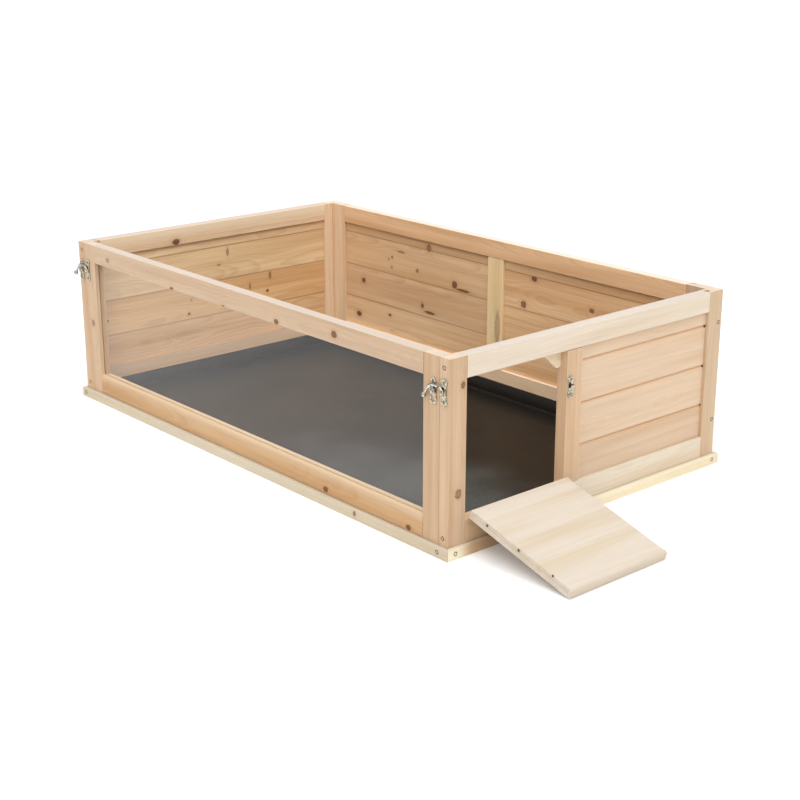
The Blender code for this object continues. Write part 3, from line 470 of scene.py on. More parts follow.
@dataclass
class KnotMarks:
    """What all knots of one piece add up to: numbers where it has none, else sockets."""

    push: object = 0.0
    halo: object = 0.0
    core: object = 0.0
    rim: object = 0.0
    heart: object = 0.0


@dataclass(frozen=True)
class Timber:
    """A sawn softwood: its tones, its rings and streaks, and the marks that lie over them.

    The crown tone lies on faces that look up as painted light and shade, a paler tone lies towards the top
    from a share of the height, and a painted shade, the ramp's shadow, is multiplied in between two places
    along Y.
    """

    early: Colour
    late: Colour
    patch: Colour
    ring: float = 0.0021
    contrast: float = 0.3
    # Painted light and shade: how strongly the crown tone lies on faces that look up.
    crest: float = 0.45
    halo: Colour = tone(178, 122, 78)
    knot: Colour = tone(112, 71, 45)
    bark: Colour = tone(74, 43, 26)
    seam: Colour = tone(120, 78, 48)
    seam_reach: float = 0.0016
    # The tone of the painted light on faces that look up.
    crown: Colour = tone(212, 204, 194)
    streaks: float = 0.34
    top_paling: float = 0.0
    top_paling_foot: float = 0.3
    top_paling_tone: Colour = tone(240, 220, 190)
    # Painted shade: a tone multiplied in where the ramp shades the wood below it.
    stain: Colour | None = None
    stain_ends: tuple[float, float] = (-0.26, -0.055)
    stain_fade: float = 0.03
    pith_gap: tuple[float, float] = (0.022, 0.055)
    pith_aside: float = 0.03
    log_reach: float = 60.0
    most_tilt: float = 0.035
    ring_spread: tuple[float, float] = (0.8, 1.25)
    knot_push: float = 1.7
    halo_share: float = 0.42
    knot_share: float = 0.9
    heart_share: float = 0.3
    rim_share: float = 0.55
    seam_line: float = 0.0004
    seam_share: float = 0.5
    top_paling_wave: float = 0.006
    top_paling_head: float = 0.003
    crest_slope: Span = (0.6, 0.95)
    roughness: Span = (0.3, 0.7, 0.5, 0.66)
    specular: float = 0.32
    relief: float = 0.0003
    relief_share: float = 0.3

    def toned(self, red: float, green: float, blue: float, **changes: object) -> "Timber":
        """The same timber with its three colours multiplied.

        Args:
            red: Multiplies red.
            green: Multiplies green.
            blue: Multiplies blue.
            changes: Other fields to change.

        Returns:
            The new timber.
        """
        share = (red, green, blue)
        tones = {name: tuple(a * b for a, b in zip(getattr(self, name), share))
                 for name in ("early", "late", "patch")}
        return replace(self, **(tones | changes))

    def knot_marks(self, bench: Bench, place: Socket, cut: Cut, group: bpy.types.NodeTree) -> KnotMarks:
        """Place a knot group for each knot, and keep the strongest mark at every point.

        Args:
            bench: The material's bench.
            place: The place in the log.
            cut: How the piece is cut.
            group: The shared knot group.

        Returns:
            The marks.
        """
        marks = KnotMarks()
        turn, middle, look = cut.grain.matrix(), cut.middle(), cut.look()
        for knot in cut.knots:
            reach = Vector((1.0 / knot.long, 1.0 / knot.tall, 1.0 / knot.tall)) / knot.radius
            reach = Vector([value * (1.0 - away) for value, away in zip(reach, look)])
            centre = turn @ (Vector(knot.place) - middle)
            spot = bench.fill(bench.add("Group", node_tree=group),
                              {"Place": place, "Centre": centre, "Reach": reach})
            swell, core, rim, heart = (spot.outputs[label] for label in ("Swell", "Core", "Rim", "Heart"))
            marks.push = bench.math("MULTIPLY_ADD", swell, knot.radius * self.knot_push, marks.push)
            marks.halo = bench.math("MAXIMUM", marks.halo, bench.times(swell, self.halo_share * knot.dark))
            marks.core = bench.math("MAXIMUM", marks.core, bench.times(core, knot.dark))
            marks.rim = bench.math("MAXIMUM", marks.rim, bench.times(rim, knot.dark))
            small_rings = bench.times(bench.times(heart, core), knot.dark)
            marks.heart = bench.math("MAXIMUM", marks.heart, small_rings)
        return marks

    def with_knots(self, bench: Bench, colour: Socket, marks: KnotMarks) -> Socket:
        """Lay the knots over the wood: a warm halo, then the core, its rings and the bark.

        Args:
            bench: The material's bench.
            colour: The colour so far.
            marks: The knots' marks.

        Returns:
            The new colour.
        """
        for share, shade in ((marks.halo, self.halo), (bench.times(marks.core, self.knot_share), self.knot),
                             (bench.times(marks.heart, self.heart_share), self.bark),
                             (bench.times(marks.rim, self.rim_share), self.bark)):
            colour = bench.blend(share, colour, shade)
        return colour

    def with_seams(self, bench: Bench, colour: Socket, joints: tuple[float, ...]) -> Socket:
        """Darken the wood where |height - joint| is small.

        Args:
            bench: The material's bench.
            colour: The colour so far.
            joints: The heights of the joints.

        Returns:
            The new colour.
        """
        height = bench.axes(bench.place())["Z"]
        for joint in joints:
            gap = bench.math("ABSOLUTE", bench.math("SUBTRACT", height, joint))
            share = bench.span(gap, self.seam_reach, self.seam_line, 0.0, self.seam_share)
            colour = bench.blend(share, colour, self.seam)
        return colour

    def with_stain(self, bench: Bench, colour: Socket) -> Socket:
        """Multiply the wood by a painted shade, the ramp's shadow on the wood below it, between two places
        along Y.

        Args:
            bench: The material's bench.
            colour: The colour so far.

        Returns:
            The new colour.
        """
        along = bench.axes(bench.place())["Y"]
        near, far = self.stain_ends
        share = bench.times(bench.span(along, near, near + self.stain_fade),
                            bench.span(along, far, far - self.stain_fade))
        return bench.blend(share, colour, self.stain, "MULTIPLY")

    def with_top_paling(self, bench: Bench, colour: Socket, streak: Socket, cut: Cut) -> Socket:
        """Pale the wood towards the top of the piece, by height + top_paling_wave * streak.

        Args:
            bench: The material's bench.
            colour: The colour so far.
            streak: The wood's streaks.
            cut: How the piece is cut.

        Returns:
            The new colour.
        """
        low, high = cut.box()
        wavy = bench.plus(bench.axes(bench.place())["Z"], bench.times(streak, self.top_paling_wave))
        foot = low.z + (high.z - low.z) * self.top_paling_foot
        share = bench.span(wavy, foot, high.z + self.top_paling_head, 0.0, self.top_paling)
        return bench.blend(share, colour, self.top_paling_tone)

    def material(self, cut: Cut, bank: "TimberBank") -> bpy.types.Material:
        """Make the finish of one piece: rings, knots, seams, painted shade, paling to the top and painted
        light and shade on faces that look up.

        Args:
            cut: How the piece is cut.
            bank: The shared node groups.

        Returns:
            The new material.
        """
        material, bench = new_finish(cut.node + "_timber")
        mapping = bench.fill(bench.add("Mapping", vector_type="POINT"),
                             {"Vector": bench.place(), "Rotation": cut.grain.value,
                              "Location": -(cut.grain.matrix() @ cut.middle())})
        place = mapping.outputs[0]
        luck = np.random.default_rng(cut.seed)
        look = cut.look()
        pith = look * luck.uniform(*self.pith_gap) * luck.choice((-1, 1))
        pith = pith + Vector((0.0, look.z, look.y)) * luck.uniform(-self.pith_aside, self.pith_aside)
        marks = self.knot_marks(bench, place, cut, bank.knot)
        wood = bench.fill(bench.add("Group", node_tree=bank.softwood), {
            "Place": place, "Pith": pith, "Seed": float(luck.uniform(0.0, self.log_reach)),
            "Tilt": float(luck.uniform(-self.most_tilt, self.most_tilt)), "Push": marks.push,
            "Ring": self.ring * float(luck.uniform(*self.ring_spread)), "Early": self.early,
            "Late": self.late, "Patch": self.patch, "Contrast": self.contrast, "Streaks": self.streaks})
        colour, streak = wood.outputs["Colour"], wood.outputs["Streak"]
        if cut.knots:
            colour = self.with_knots(bench, colour, marks)
        if cut.joints:
            colour = self.with_seams(bench, colour, cut.joints)
        # Painted shade of the ramp on the wood below it.
        if self.stain:
            colour = self.with_stain(bench, colour)
        if self.top_paling:
            colour = self.with_top_paling(bench, colour, streak, cut)
        # Painted light and shade: faces that look up are blended towards the crown tone.
        facing = bench.axes(bench.add("TexCoord").outputs["Normal"])["Z"]
        colour = bench.blend(bench.span(facing, *self.crest_slope, 0.0, self.crest), colour, self.crown)
        bench.surface(bench.fill(bench.add("BsdfPrincipled"), {
            "Base Color": colour, "Roughness": bench.span(streak, *self.roughness),
            "Specular IOR Level": self.specular,
            "Normal": bench.bump(wood.outputs["Height"], self.relief, self.relief_share)}))
        return material


PALE = Timber(tone(226, 211, 186), tone(208, 182, 146), tone(219, 199, 168), contrast=0.13, streaks=0.26)
CREAM = Timber(tone(214, 189, 162), tone(194, 156, 122), tone(207, 176, 143), contrast=0.14,
               seam_reach=0.0046, seam=tone(214, 170, 128), crest=0.0, streaks=0.26)
PEACH = Timber(tone(200, 172, 142), tone(182, 142, 108), tone(192, 158, 125), contrast=0.26)
TAN = Timber(tone(226, 187, 144), tone(184, 136, 92), tone(210, 165, 120), contrast=0.36, crest=0.0,
             seam_reach=0.0018, seam=tone(158, 106, 64))
ORANGE = Timber(tone(196, 160, 118), tone(174, 128, 82), tone(186, 146, 102))
STRAW = Timber(tone(230, 206, 168), tone(206, 170, 126), tone(220, 190, 146))
RAMP = PALE.toned(0.79, 0.81, 0.9, patch=tone(198, 182, 158), crest=0.0, contrast=0.1, streaks=0.18)
# PEACH made lighter for pieces seen from inside the pen: painted light that lifts their shade.
INSIDE_PEACH_PAINTED_LIGHT = PEACH.toned(1.3, 1.33, 1.33)


@dataclass
class TimberBank:
    """The shared timber node groups, the knots seen on the object, and the last piece's seed."""

    knots: tuple[Knot, ...]
    softwood: bpy.types.NodeTree = field(default_factory=SoftwoodPattern().group)
    knot: bpy.types.NodeTree = field(default_factory=KnotPattern().group)
    seed: int = 11
    margin: float = 0.0025

    def knots_of(self, node: str) -> tuple[Knot, ...]:
        """The knots whose place is on a node, within the margin.

        Args:
            node: The CAD node.

        Returns:
            Its knots.
        """
        low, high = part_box(node)
        return tuple(knot for knot in self.knots if all(
            a - self.margin < spot < b + self.margin for a, spot, b in zip(low, knot.place, high)))

    def dress(self, node: str, timber: Timber, grain: Grain, face: Face,
              joints: tuple[float, ...] = ()) -> None:
        """Give a timber node its own finish.

        Args:
            node: The CAD node.
            timber: Its timber.
            grain: The axis of its grain.
            face: The faces that its knots run through.
            joints: Heights where it meets its neighbours.
        """
        self.seed += 1
        cut = Cut(node, grain, face, self.seed, self.knots_of(node), joints)
        dress_node(node, timber.material(cut, self))


def dress_node(node: str, material: bpy.types.Material) -> None:
    """Put a material on every slot of a CAD node.

    Args:
        node: The node.
        material: Its finish.
    """
    thing = frame["nodes"][node]
    if not thing.material_slots:
        thing.data.materials.append(material)
    for slot in thing.material_slots:
        slot.material = material
    LOG.info("%s: %s", node, material.name)


@dataclass(frozen=True)
class Plating:
    """A plated metal: bright plate over soft hammer dents, with cloudy dark patches and fine scratches."""

    colour: Colour = tone(208, 204, 194)
    shade: Colour = tone(112, 105, 92)
    roughness: float = 0.18
    dents: float = 0.0002
    cloud_scale: float = 420.0
    dent_scale: float = 330.0
    scratch_stretch: Point = (4000.0, 500.0, 500.0)
    scratch_share: float = 0.08
    shade_spread: Span = (0.42, 0.68)
    polish_spread: Span = (0.3, 0.7)
    polish_shares: tuple[float, float] = (0.7, 1.8)
    relief_share: float = 0.7

    def material(self, name: str) -> bpy.types.Material:
        """Make the finish.

        Args:
            name: The material's name.

        Returns:
            The new material.
        """
        material, bench = new_finish(name)
        place = bench.place()
        cloud = bench.noise(place, self.cloud_scale, 4.0)
        scratch = bench.noise(bench.vector("MULTIPLY", place, self.scratch_stretch))
        dent = bench.noise(place, self.dent_scale, 1.0)
        relief = bench.plus(dent, bench.times(scratch, self.scratch_share))
        polish = (self.roughness * share for share in self.polish_shares)
        bench.surface(bench.fill(bench.add("BsdfPrincipled"), {
            "Metallic": 1.0,
            "Base Color": bench.blend(bench.span(cloud, *self.shade_spread), self.colour, self.shade),
            "Roughness": bench.span(cloud, *self.polish_spread, *polish),
            "Normal": bench.bump(relief, self.dents, self.relief_share)}))
        return material


@dataclass(frozen=True)
class ClearSheet:
    """Clear glossy sheet for the window, that lets lamps shine through."""

    bend: float = 1.29
    tint: Colour = (0.985, 0.99, 0.985)
    lamp_share: Colour = (0.94, 0.94, 0.94)

    def material(self, name: str) -> bpy.types.Material:
        """Make the finish: clear to look through, and a plain filter to the lamps' rays.

        Args:
            name: The material's name.

        Returns:
            The new material.
        """
        material, bench = new_finish(name)
        shader = bench.fill(bench.add("BsdfPrincipled"), {
            "Base Color": self.tint, "Transmission Weight": 1.0, "IOR": self.bend, "Roughness": 0.0})
        open_sheet = bench.fill(bench.add("BsdfTransparent"), {"Color": self.lamp_share})
        bench.surface(bench.fill(bench.add("MixShader"), {
            0: bench.add("LightPath").outputs["Is Shadow Ray"], 1: shader.outputs[0],
            2: open_sheet.outputs[0]}))
        return material


@dataclass(frozen=True)
class MouldedPlastic:
    """Dark formed sheet: a fine pebble grain, cloudy sheen, paler rubbed streaks and a patch of painted
    sheen.
    """

    colour: Colour = tone(26, 23, 20)
    rubbed: Colour = tone(37, 33, 28)
    painted_sheen_tone: Colour = tone(72, 75, 75)
    painted_sheen_place: Point = (0.27, -0.125, 0.0)
    painted_sheen_reach: Point = (0.36, 0.15, 1.0)
    painted_sheen_fade: Span = (1.0, 0.1)
    painted_sheen_edge: Span = (0.3, 0.7, -0.15, 0.15)
    mottle_scale: float = 260.0
    mottle: Span = (0.38, 0.62, 0.65, 1.0)
    cloud_scale: float = 9.0
    streak_stretch: Point = (4.0, 15.0, 15.0)
    rub_streak: Span = (0.5, 0.8)
    rub_cloud: Span = (0.4, 0.7)
    roughness: Span = (0.3, 0.75, 0.3, 0.38)
    specular: float = 0.1
    pebble_scale: float = 1500.0
    pebble: float = 0.000015
    pebble_share: float = 0.2

    def material(self, name: str) -> bpy.types.Material:
        """Make the finish. The patch of painted sheen fades by the length of (place - its middle) / its
        reach.

        Args:
            name: The material's name.

        Returns:
            The new material.
        """
        material, bench = new_finish(name)
        place = bench.place()
        cloud = bench.noise(place, self.cloud_scale)
        streak = bench.noise(bench.vector("MULTIPLY", place, self.streak_stretch))
        rub = bench.times(bench.span(streak, *self.rub_streak), bench.span(cloud, *self.rub_cloud))
        # A paler grey patch by the door end of the tray: painted sheen.
        off = bench.vector("DIVIDE", bench.vector("SUBTRACT", place, self.painted_sheen_place), self.painted_sheen_reach)
        ragged = bench.plus(bench.vector("LENGTH", off), bench.span(cloud, *self.painted_sheen_edge))
        mottle = bench.span(bench.noise(place, self.mottle_scale, 1.0), *self.mottle)
        painted_sheen = bench.times(bench.span(ragged, *self.painted_sheen_fade), mottle)
        pebble = bench.noise(place, self.pebble_scale, 1.0)
        bench.surface(bench.fill(bench.add("BsdfPrincipled"), {
            "Base Color": bench.blend(painted_sheen, bench.blend(rub, self.colour, self.rubbed), self.painted_sheen_tone),
            "Specular IOR Level": self.specular, "Roughness": bench.span(cloud, *self.roughness),
            "Normal": bench.bump(pebble, self.pebble, self.pebble_share)}))
        return material


def show(name: str, data: bpy.types.ID) -> bpy.types.Object:
    """Put a mesh, a lamp or a camera into the scene.

    Args:
        name: The object's name.
        data: What it shows.

    Returns:
        The new object, at the origin.
    """
    thing = bpy.data.objects.new(name, data)
    bpy.context.scene.collection.objects.link(thing)
    return thing


def skin(name: str, rings: np.ndarray, start: Point | None = None,
         end: Point | None = None) -> bpy.types.Object:
    """Make a mesh of closed rings joined in order, with a fan to a pole at either end.

    Args:
        name: The object's name.
        rings: Points of shape (rings, points round, 3).
        start: A pole before the first ring.
        end: A pole after the last ring.

    Returns:
        The new object, smooth shaded, at the origin.
    """
    count, around, _ = rings.shape
    points = rings.reshape(-1, 3)
    index = np.arange(count * around).reshape(count, around)
    after = np.roll(index, -1, axis=1)
    quads = np.stack([index[:-1], after[:-1], after[1:], index[1:]], axis=-1).reshape(-1, 4)
    faces = [tuple(quad) for quad in quads.tolist()]
    for pole, ring, follow in ((start, after[0], index[0]), (end, index[-1], after[-1])):
        if pole is not None:
            points = np.vstack([points, np.array(pole)])
            faces += [(a, b, len(points) - 1) for a, b in zip(ring.tolist(), follow.tolist())]
    mesh = bpy.data.meshes.new(name)
    mesh.from_pydata(points.tolist(), [], faces)
    mesh.update()
    mesh.shade_smooth()
    return show(name, mesh)


def axes_of(outward: Point) -> Matrix:
    """A turn that carries +Z to an outward direction."""
    return Vector(outward).to_track_quat("Z", "Y").to_matrix()


def put(points: np.ndarray, place: Point, turn: Matrix) -> np.ndarray:
    """Points turned and carried to a place: turn * point + place."""
    return points @ np.array(turn).T + np.array(place)


def join_shells(name: str, shells: list[Shell]) -> bpy.types.Object:
    """Make one mesh of several closed shells.

    Args:
        name: The object's name.
        shells: Each shell's rings, with a pole at either end, if any.

    Returns:
        The new object, at the origin.
    """
    shape = bmesh.new()
    for part in [skin(name, rings, start, end) for rings, start, end in shells]:
        shape.from_mesh(part.data)
        bpy.data.meshes.remove(part.data)
    mesh = bpy.data.meshes.new(name)
    shape.to_mesh(mesh)
    shape.free()
    return show(name, mesh)


def merged_copy(node: str, gap: float = 0.000002) -> bpy.types.Object:
    """Copy a CAD node's mesh with its doubled vertices merged.

    Args:
        node: The node.
        gap: How near two vertices are that merge.

    Returns:
        The copy, at the origin.
    """
    shape = bmesh.new()
    source = frame["nodes"][node]
    shape.from_mesh(source.data)
    shape.transform(source.matrix_world)
    bmesh.ops.remove_doubles(shape, verts=shape.verts, dist=gap)
    mesh = bpy.data.meshes.new(node)
    shape.to_mesh(mesh)
    shape.free()
    return show(node + "_copy", mesh)


def cast(rough: bpy.types.Object, name: str, grain: float = 0.00025, passes: int = 5) -> bpy.types.Object:
    """Fuse closed shells into one closed body with softened edges, as a casting has.

    The shells are sampled on a grid of small cubes, and every vertex of the surface found there is
    moved halfway to the mean of its neighbours a few times.

    Args:
        rough: The shells, which are used up.
        name: The new piece's name.
        grain: The side of a cube.
        passes: How many times the surface is smoothed.

    Returns:
        The new object, at the origin.
    """
    fuse = rough.modifiers.new("fuse", "REMESH")
    fuse.mode = "VOXEL"
    fuse.voxel_size = grain
    ease = rough.modifiers.new("ease", "SMOOTH")
    ease.factor = 0.5
    ease.iterations = passes
    bpy.context.view_layer.update()
    mesh = bpy.data.meshes.new_from_object(rough.evaluated_get(bpy.context.evaluated_depsgraph_get()))
    bpy.data.meshes.remove(rough.data)
    mesh.name = name
    mesh.shade_smooth()
    return show(name, mesh)


@dataclass(frozen=True)
class Tray:
    """The formed tray: a flat floor, a foot curve, walls that lean out, and a flat lip."""

    half: tuple[float, float] = (0.432, 0.252)
    corner: float = 0.018
    sheet: float = 0.0012
    floor: float = 0.0033
    rim: float = 0.0255
    lip: float = 0.001
    wall_top: float = 0.004
    wall_foot: float = 0.0085
    foot: float = 0.004
    floor_edge: float = 0.003
    foot_steps: int = 9
    corner_steps: int = 12

    def ring(self, inset: float, height: float) -> np.ndarray:
        """A rounded rectangle: corner centres plus radius * (cos, sin) over each quarter turn.

        Args:
            inset: How far it is inside the tray's outline.
            height: Its height.

        Returns:
            Its points.
        """
        radius = max(self.corner - inset, self.sheet)
        quarters = np.arange(4)[:, None] * np.pi / 2
        angle = quarters + np.linspace(0.0, np.pi / 2, self.corner_steps)[None, :]
        sides = np.array([(1, 1), (-1, 1), (-1, -1), (1, -1)])[:, None, :]
        centre = sides * (np.array(self.half) - inset - radius)
        flat = centre + radius * np.stack([np.cos(angle), np.sin(angle)], axis=-1)
        return np.concatenate([flat, np.full((4, self.corner_steps, 1), height)], axis=-1).reshape(-1, 3)

    def profile(self) -> list[tuple[float, float]]:
        """The sheet's outline from the middle of the underside, up the outside, over the lip and down.

        The foot is a quarter circle: foot * (1 - cos, 1 - sin). The inside is the outside moved by the
        sheet's thickness.

        Returns:
            Its (inset, height) pairs.
        """
        turn = np.linspace(np.pi / 2, 0.0, self.foot_steps)
        reach, rise = self.foot * (1 - np.cos(turn)), self.foot * (1 - np.sin(turn))
        outer = [(self.wall_foot + float(a), self.floor + float(b)) for a, b in zip(reach, rise)]
        under = [(self.wall_foot + self.foot + self.floor_edge, self.floor), *outer,
                 (self.wall_top, self.rim - self.sheet), (self.lip, self.rim - self.sheet)]
        inner = [(a + self.sheet, b + self.sheet) for a, b in reversed(outer)]
        over = [(self.lip, self.rim), (self.wall_top + self.sheet, self.rim), *inner,
                (self.wall_foot + self.foot + self.sheet + self.floor_edge, self.floor + self.sheet)]
        return under + over

    def build(self, material: bpy.types.Material) -> None:
        """Build the tray and put it in the CAD tray's place.

        Args:
            material: Its finish.
        """
        rings = np.stack([self.ring(inset, height) for inset, height in self.profile()])
        tray = skin("formed_tray", rings, (0.0, 0.0, self.floor), (0.0, 0.0, self.floor + self.sheet))
        tray.data.materials.append(material)
        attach(tray, "tray")
        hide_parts("tray")
        LOG.info("tray: %d rings", len(rings))


@dataclass(frozen=True)
class Seat:
    """A latch's own frame: the pivot's place on the wood, and the right, up and outward directions."""

    place: Point
    right: Point
    up: Point

    def outward(self) -> np.ndarray:
        """The way out of the wood: right x up."""
        return np.cross(self.right, self.up)

    def carry(self, points: np.ndarray) -> np.ndarray:
        """Carry (right, up, outward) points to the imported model's frame."""
        return np.array(self.place) + points @ np.array([self.right, self.up, self.outward()])


@dataclass(frozen=True)
class HornLever:
    """A horn latch's lever: a tapered horn with a ball on its tail, on a neck from a ringed hub.

    Places are to the right and up from the pivot, and rises are off the wood.
    """

    centre: tuple[float, float] = (0.0053, -0.0095)
    radius: float = 0.0183
    tip_angle: float = math.radians(38.0)
    tip_lead: float = 0.03
    ball_angle: float = math.radians(173.0)
    neck_angle: float = math.radians(107.0)
    collar_gap: float = 0.24
    collar_rise: float = 0.0036
    collar_share: float = 0.56
    tip: float = 0.0011
    belly: float = 0.00244
    back: float = 0.0016
    thin: float = 0.0008
    thick: float = 0.0015
    ball: float = 0.0037
    ball_rise: float = 0.0054
    hub_back: float = 0.0025
    hub: float = 0.0032
    hub_section: tuple[float, float] = (0.0014, 0.0007)
    bead_out: float = 0.0008
    bead: float = 0.0006
    bead_rise: float = 0.0013
    neck: float = 0.0019
    neck_deep: float = 0.0007
    neck_foot: float = 0.0022
    neck_flare: float = 0.3
    neck_steps: int = 24
    neck_around: int = 20

    def centreline(self, angle: np.ndarray) -> tuple[np.ndarray, np.ndarray]:
        """Points of the horn's arc, centre + radius * (cos, sin), and its outward radial direction."""
        radial = np.stack([np.cos(angle), np.sin(angle)], axis=-1)
        return np.array(self.centre) + self.radius * radial, radial

    def horn(self, steps: int = 60, around: int = 24) -> Shell:
        """The horn's oval sections, which swell as the sine of their share of the arc.

        Args:
            steps: How many sections.
            around: How many points round each.

        Returns:
            The rings and both poles.
        """
        angle = np.linspace(self.tip_angle - self.tip_lead, self.ball_angle, steps)
        line, radial = self.centreline(angle)
        share = np.clip((angle - self.tip_angle) / (self.ball_angle - self.tip_angle), 0.0, 1.0)
        swell = np.sin(np.pi * share)
        wide = (self.tip + (self.belly - self.tip) * swell)[:, None]
        deep = (self.thin + (self.thick - self.thin) * np.sqrt(swell))[:, None]
        turn = full_turn(around)[None, :]
        side = wide * np.cos(turn)
        rise = self.back + deep * (1 + np.sin(turn))
        flat = line[:, None, :] + side[..., None] * radial[:, None, :]
        rings = np.concatenate([flat, rise[..., None]], axis=-1)
        ends = [tuple(np.append(line[index], self.back + float(deep[index, 0]))) for index in (0, -1)]
        return rings, ends[0], ends[1]

    def globe(self, place: np.ndarray, radius: float, rise: float, steps: int = 20,
              around: int = 32) -> Shell:
        """A ball: rings at height radius * cos(a) and reach radius * sin(a).

        Args:
            place: Its middle, to the right and up.
            radius: Its radius.
            rise: Its middle's height off the wood.
            steps: How many rings.
            around: How many points round each.

        Returns:
            The rings and both poles.
        """
        level = np.linspace(0.0, np.pi, steps + 2)[1:-1][:, None]
        turn = full_turn(around)[None, :]
        x = place[0] + radius * np.sin(level) * np.cos(turn)
        y = place[1] + radius * np.sin(level) * np.sin(turn)
        z = np.broadcast_to(rise - radius * np.cos(level), x.shape)
        poles = [(float(place[0]), float(place[1]), rise + way * radius) for way in (-1, 1)]
        return np.stack([x, y, z], axis=-1), poles[0], poles[1]

    def hoop(self, reach: float, section: tuple[float, float], rise: float, steps: int = 64,
             around: int = 20) -> Shell:
        """A ring about the pivot.

        Its points are (reach + wide * cos(s)) * (cos, sin) of the turn, at height rise + deep * sin(s).

        Args:
            reach: Its radius.
            section: Half its width and half its depth.
            rise: Its height off the wood.
            steps: How many sections.
            around: How many points round each.

        Returns:
            The rings, whose last is the first, and no poles.
        """
        wide, deep = section
        turn, slant = full_turn(steps)[:, None], full_turn(around)[None, :]
        out = reach + wide * np.cos(slant)
        points = np.stack([out * np.cos(turn), out * np.sin(turn),
                           np.broadcast_to(rise + deep * np.sin(slant), (steps, around))], axis=-1)
        return np.concatenate([points, points[:1]]), None, None

    def neck_bar(self, top: float) -> Shell:
        """The neck's oval sections, wider at both ends by neck_flare * (share of half its length) ** 2.

        Args:
            top: How far up it ends, on the horn's arc.

        Returns:
            The rings and both poles.
        """
        shape = (self.neck_steps, self.neck_around)
        neck = np.linspace(self.neck_foot, top, self.neck_steps)
        turn = full_turn(self.neck_around)[None, :]
        share = (neck - neck.mean()) / (neck[-1] - neck[0]) * 2
        wide = self.neck * (1 + self.neck_flare * share ** 2)[:, None]
        low, high = self.hub_back + self.neck_deep, self.back + self.thick
        middle = np.linspace(low, high, self.neck_steps)[:, None]
        rings = np.stack([wide * np.cos(turn), np.broadcast_to(neck[:, None], shape),
                          np.broadcast_to(middle + self.neck_deep * np.sin(turn), shape)], axis=-1)
        poles = [(0.0, float(neck[index]), float(middle[index, 0])) for index in (0, -1)]
        return rings, poles[0], poles[1]

    def build(self, name: str, seat: Seat, opened: float) -> bpy.types.Object:
        """Build one lever as a casting.

        Args:
            name: Its name.
            seat: Its own frame.
            opened: How far it is turned open, about the outward direction.

        Returns:
            The new object.
        """
        line, _ = self.centreline(np.array([self.ball_angle, self.ball_angle - self.collar_gap,
                                            self.neck_angle]))
        shells = [self.horn(), self.globe(line[0], self.ball, self.ball_rise),
                  self.globe(line[1], self.ball * self.collar_share, self.collar_rise),
                  self.neck_bar(line[2][1]),
                  self.hoop(self.hub, self.hub_section, self.hub_back + self.hub_section[1]),
                  self.hoop(self.hub + self.bead_out, (self.bead,) * 2, self.hub_back + self.bead_rise)]
        spin = np.array([[math.cos(opened), -math.sin(opened), 0.0],
                         [math.sin(opened), math.cos(opened), 0.0], [0.0, 0.0, 1.0]])
        ready = []
        for rings, *poles in shells:
            ends = (None if pole is None else tuple(seat.carry(np.array(pole) @ spin.T)) for pole in poles)
            ready.append((seat.carry(rings @ spin.T), *ends))
        return cast(join_shells(name + "_rough", ready), name)


@dataclass(frozen=True)
class CrossScrew:
    """A countersunk wood screw's head with a cross recess."""

    radius: float = 0.0032
    dome: float = 0.0004
    sink: float = 0.0006
    arm: float = 0.0023
    slot: float = 0.00065
    depth: float = 0.0014
    slot_edge: float = 1.5
    arm_edge: float = 1.1
    arm_fade: float = 0.4
    rings: int = 16
    around: int = 40

    def build(self, name: str, place: Point, outward: Point, spin: float, body: str,
              material: bpy.types.Material) -> None:
        """Build one head.

        The top is dome * (1 - (r / radius) ** 2) above the face, less depth inside the cross, where
        the cross is eased across its arms' width and along their length. A skirt goes down into the
        wood.

        Args:
            name: The piece's name.
            place: The middle of the head on the face.
            outward: The face's outward direction.
            spin: The turn of the recess.
            body: The body that it rides on.
            material: Its finish.
        """
        reach = np.linspace(self.radius / self.rings, self.radius, self.rings)[:, None]
        angle = full_turn(self.around)[None, :]
        x, y = reach * np.cos(angle), reach * np.sin(angle)
        narrow = np.clip((self.slot * self.slot_edge - np.minimum(abs(x), abs(y))) / self.slot, 0.0, 1.0)
        short = np.clip((self.arm * self.arm_edge - reach) / (self.arm * self.arm_fade), 0.0, 1.0)
        top = self.dome * (1 - (reach / self.radius) ** 2) - self.depth * narrow * short
        rings = np.stack([x, y, np.broadcast_to(top, x.shape)], axis=-1)
        skirt = rings[-1].copy()
        skirt[:, 2] -= self.sink
        turn = axes_of(outward) @ Matrix.Rotation(spin, 3, "Z")
        rings = put(np.concatenate([rings, skirt[None]]), place, turn)[:, ::-1]
        crown = put(np.array([0.0, 0.0, self.dome - self.depth]), place, turn)
        foot = put(np.array([0.0, 0.0, -self.sink]), place, turn)
        head = skin(name, rings, tuple(crown), tuple(foot))
        head.data.materials.append(material)
        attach(head, body)


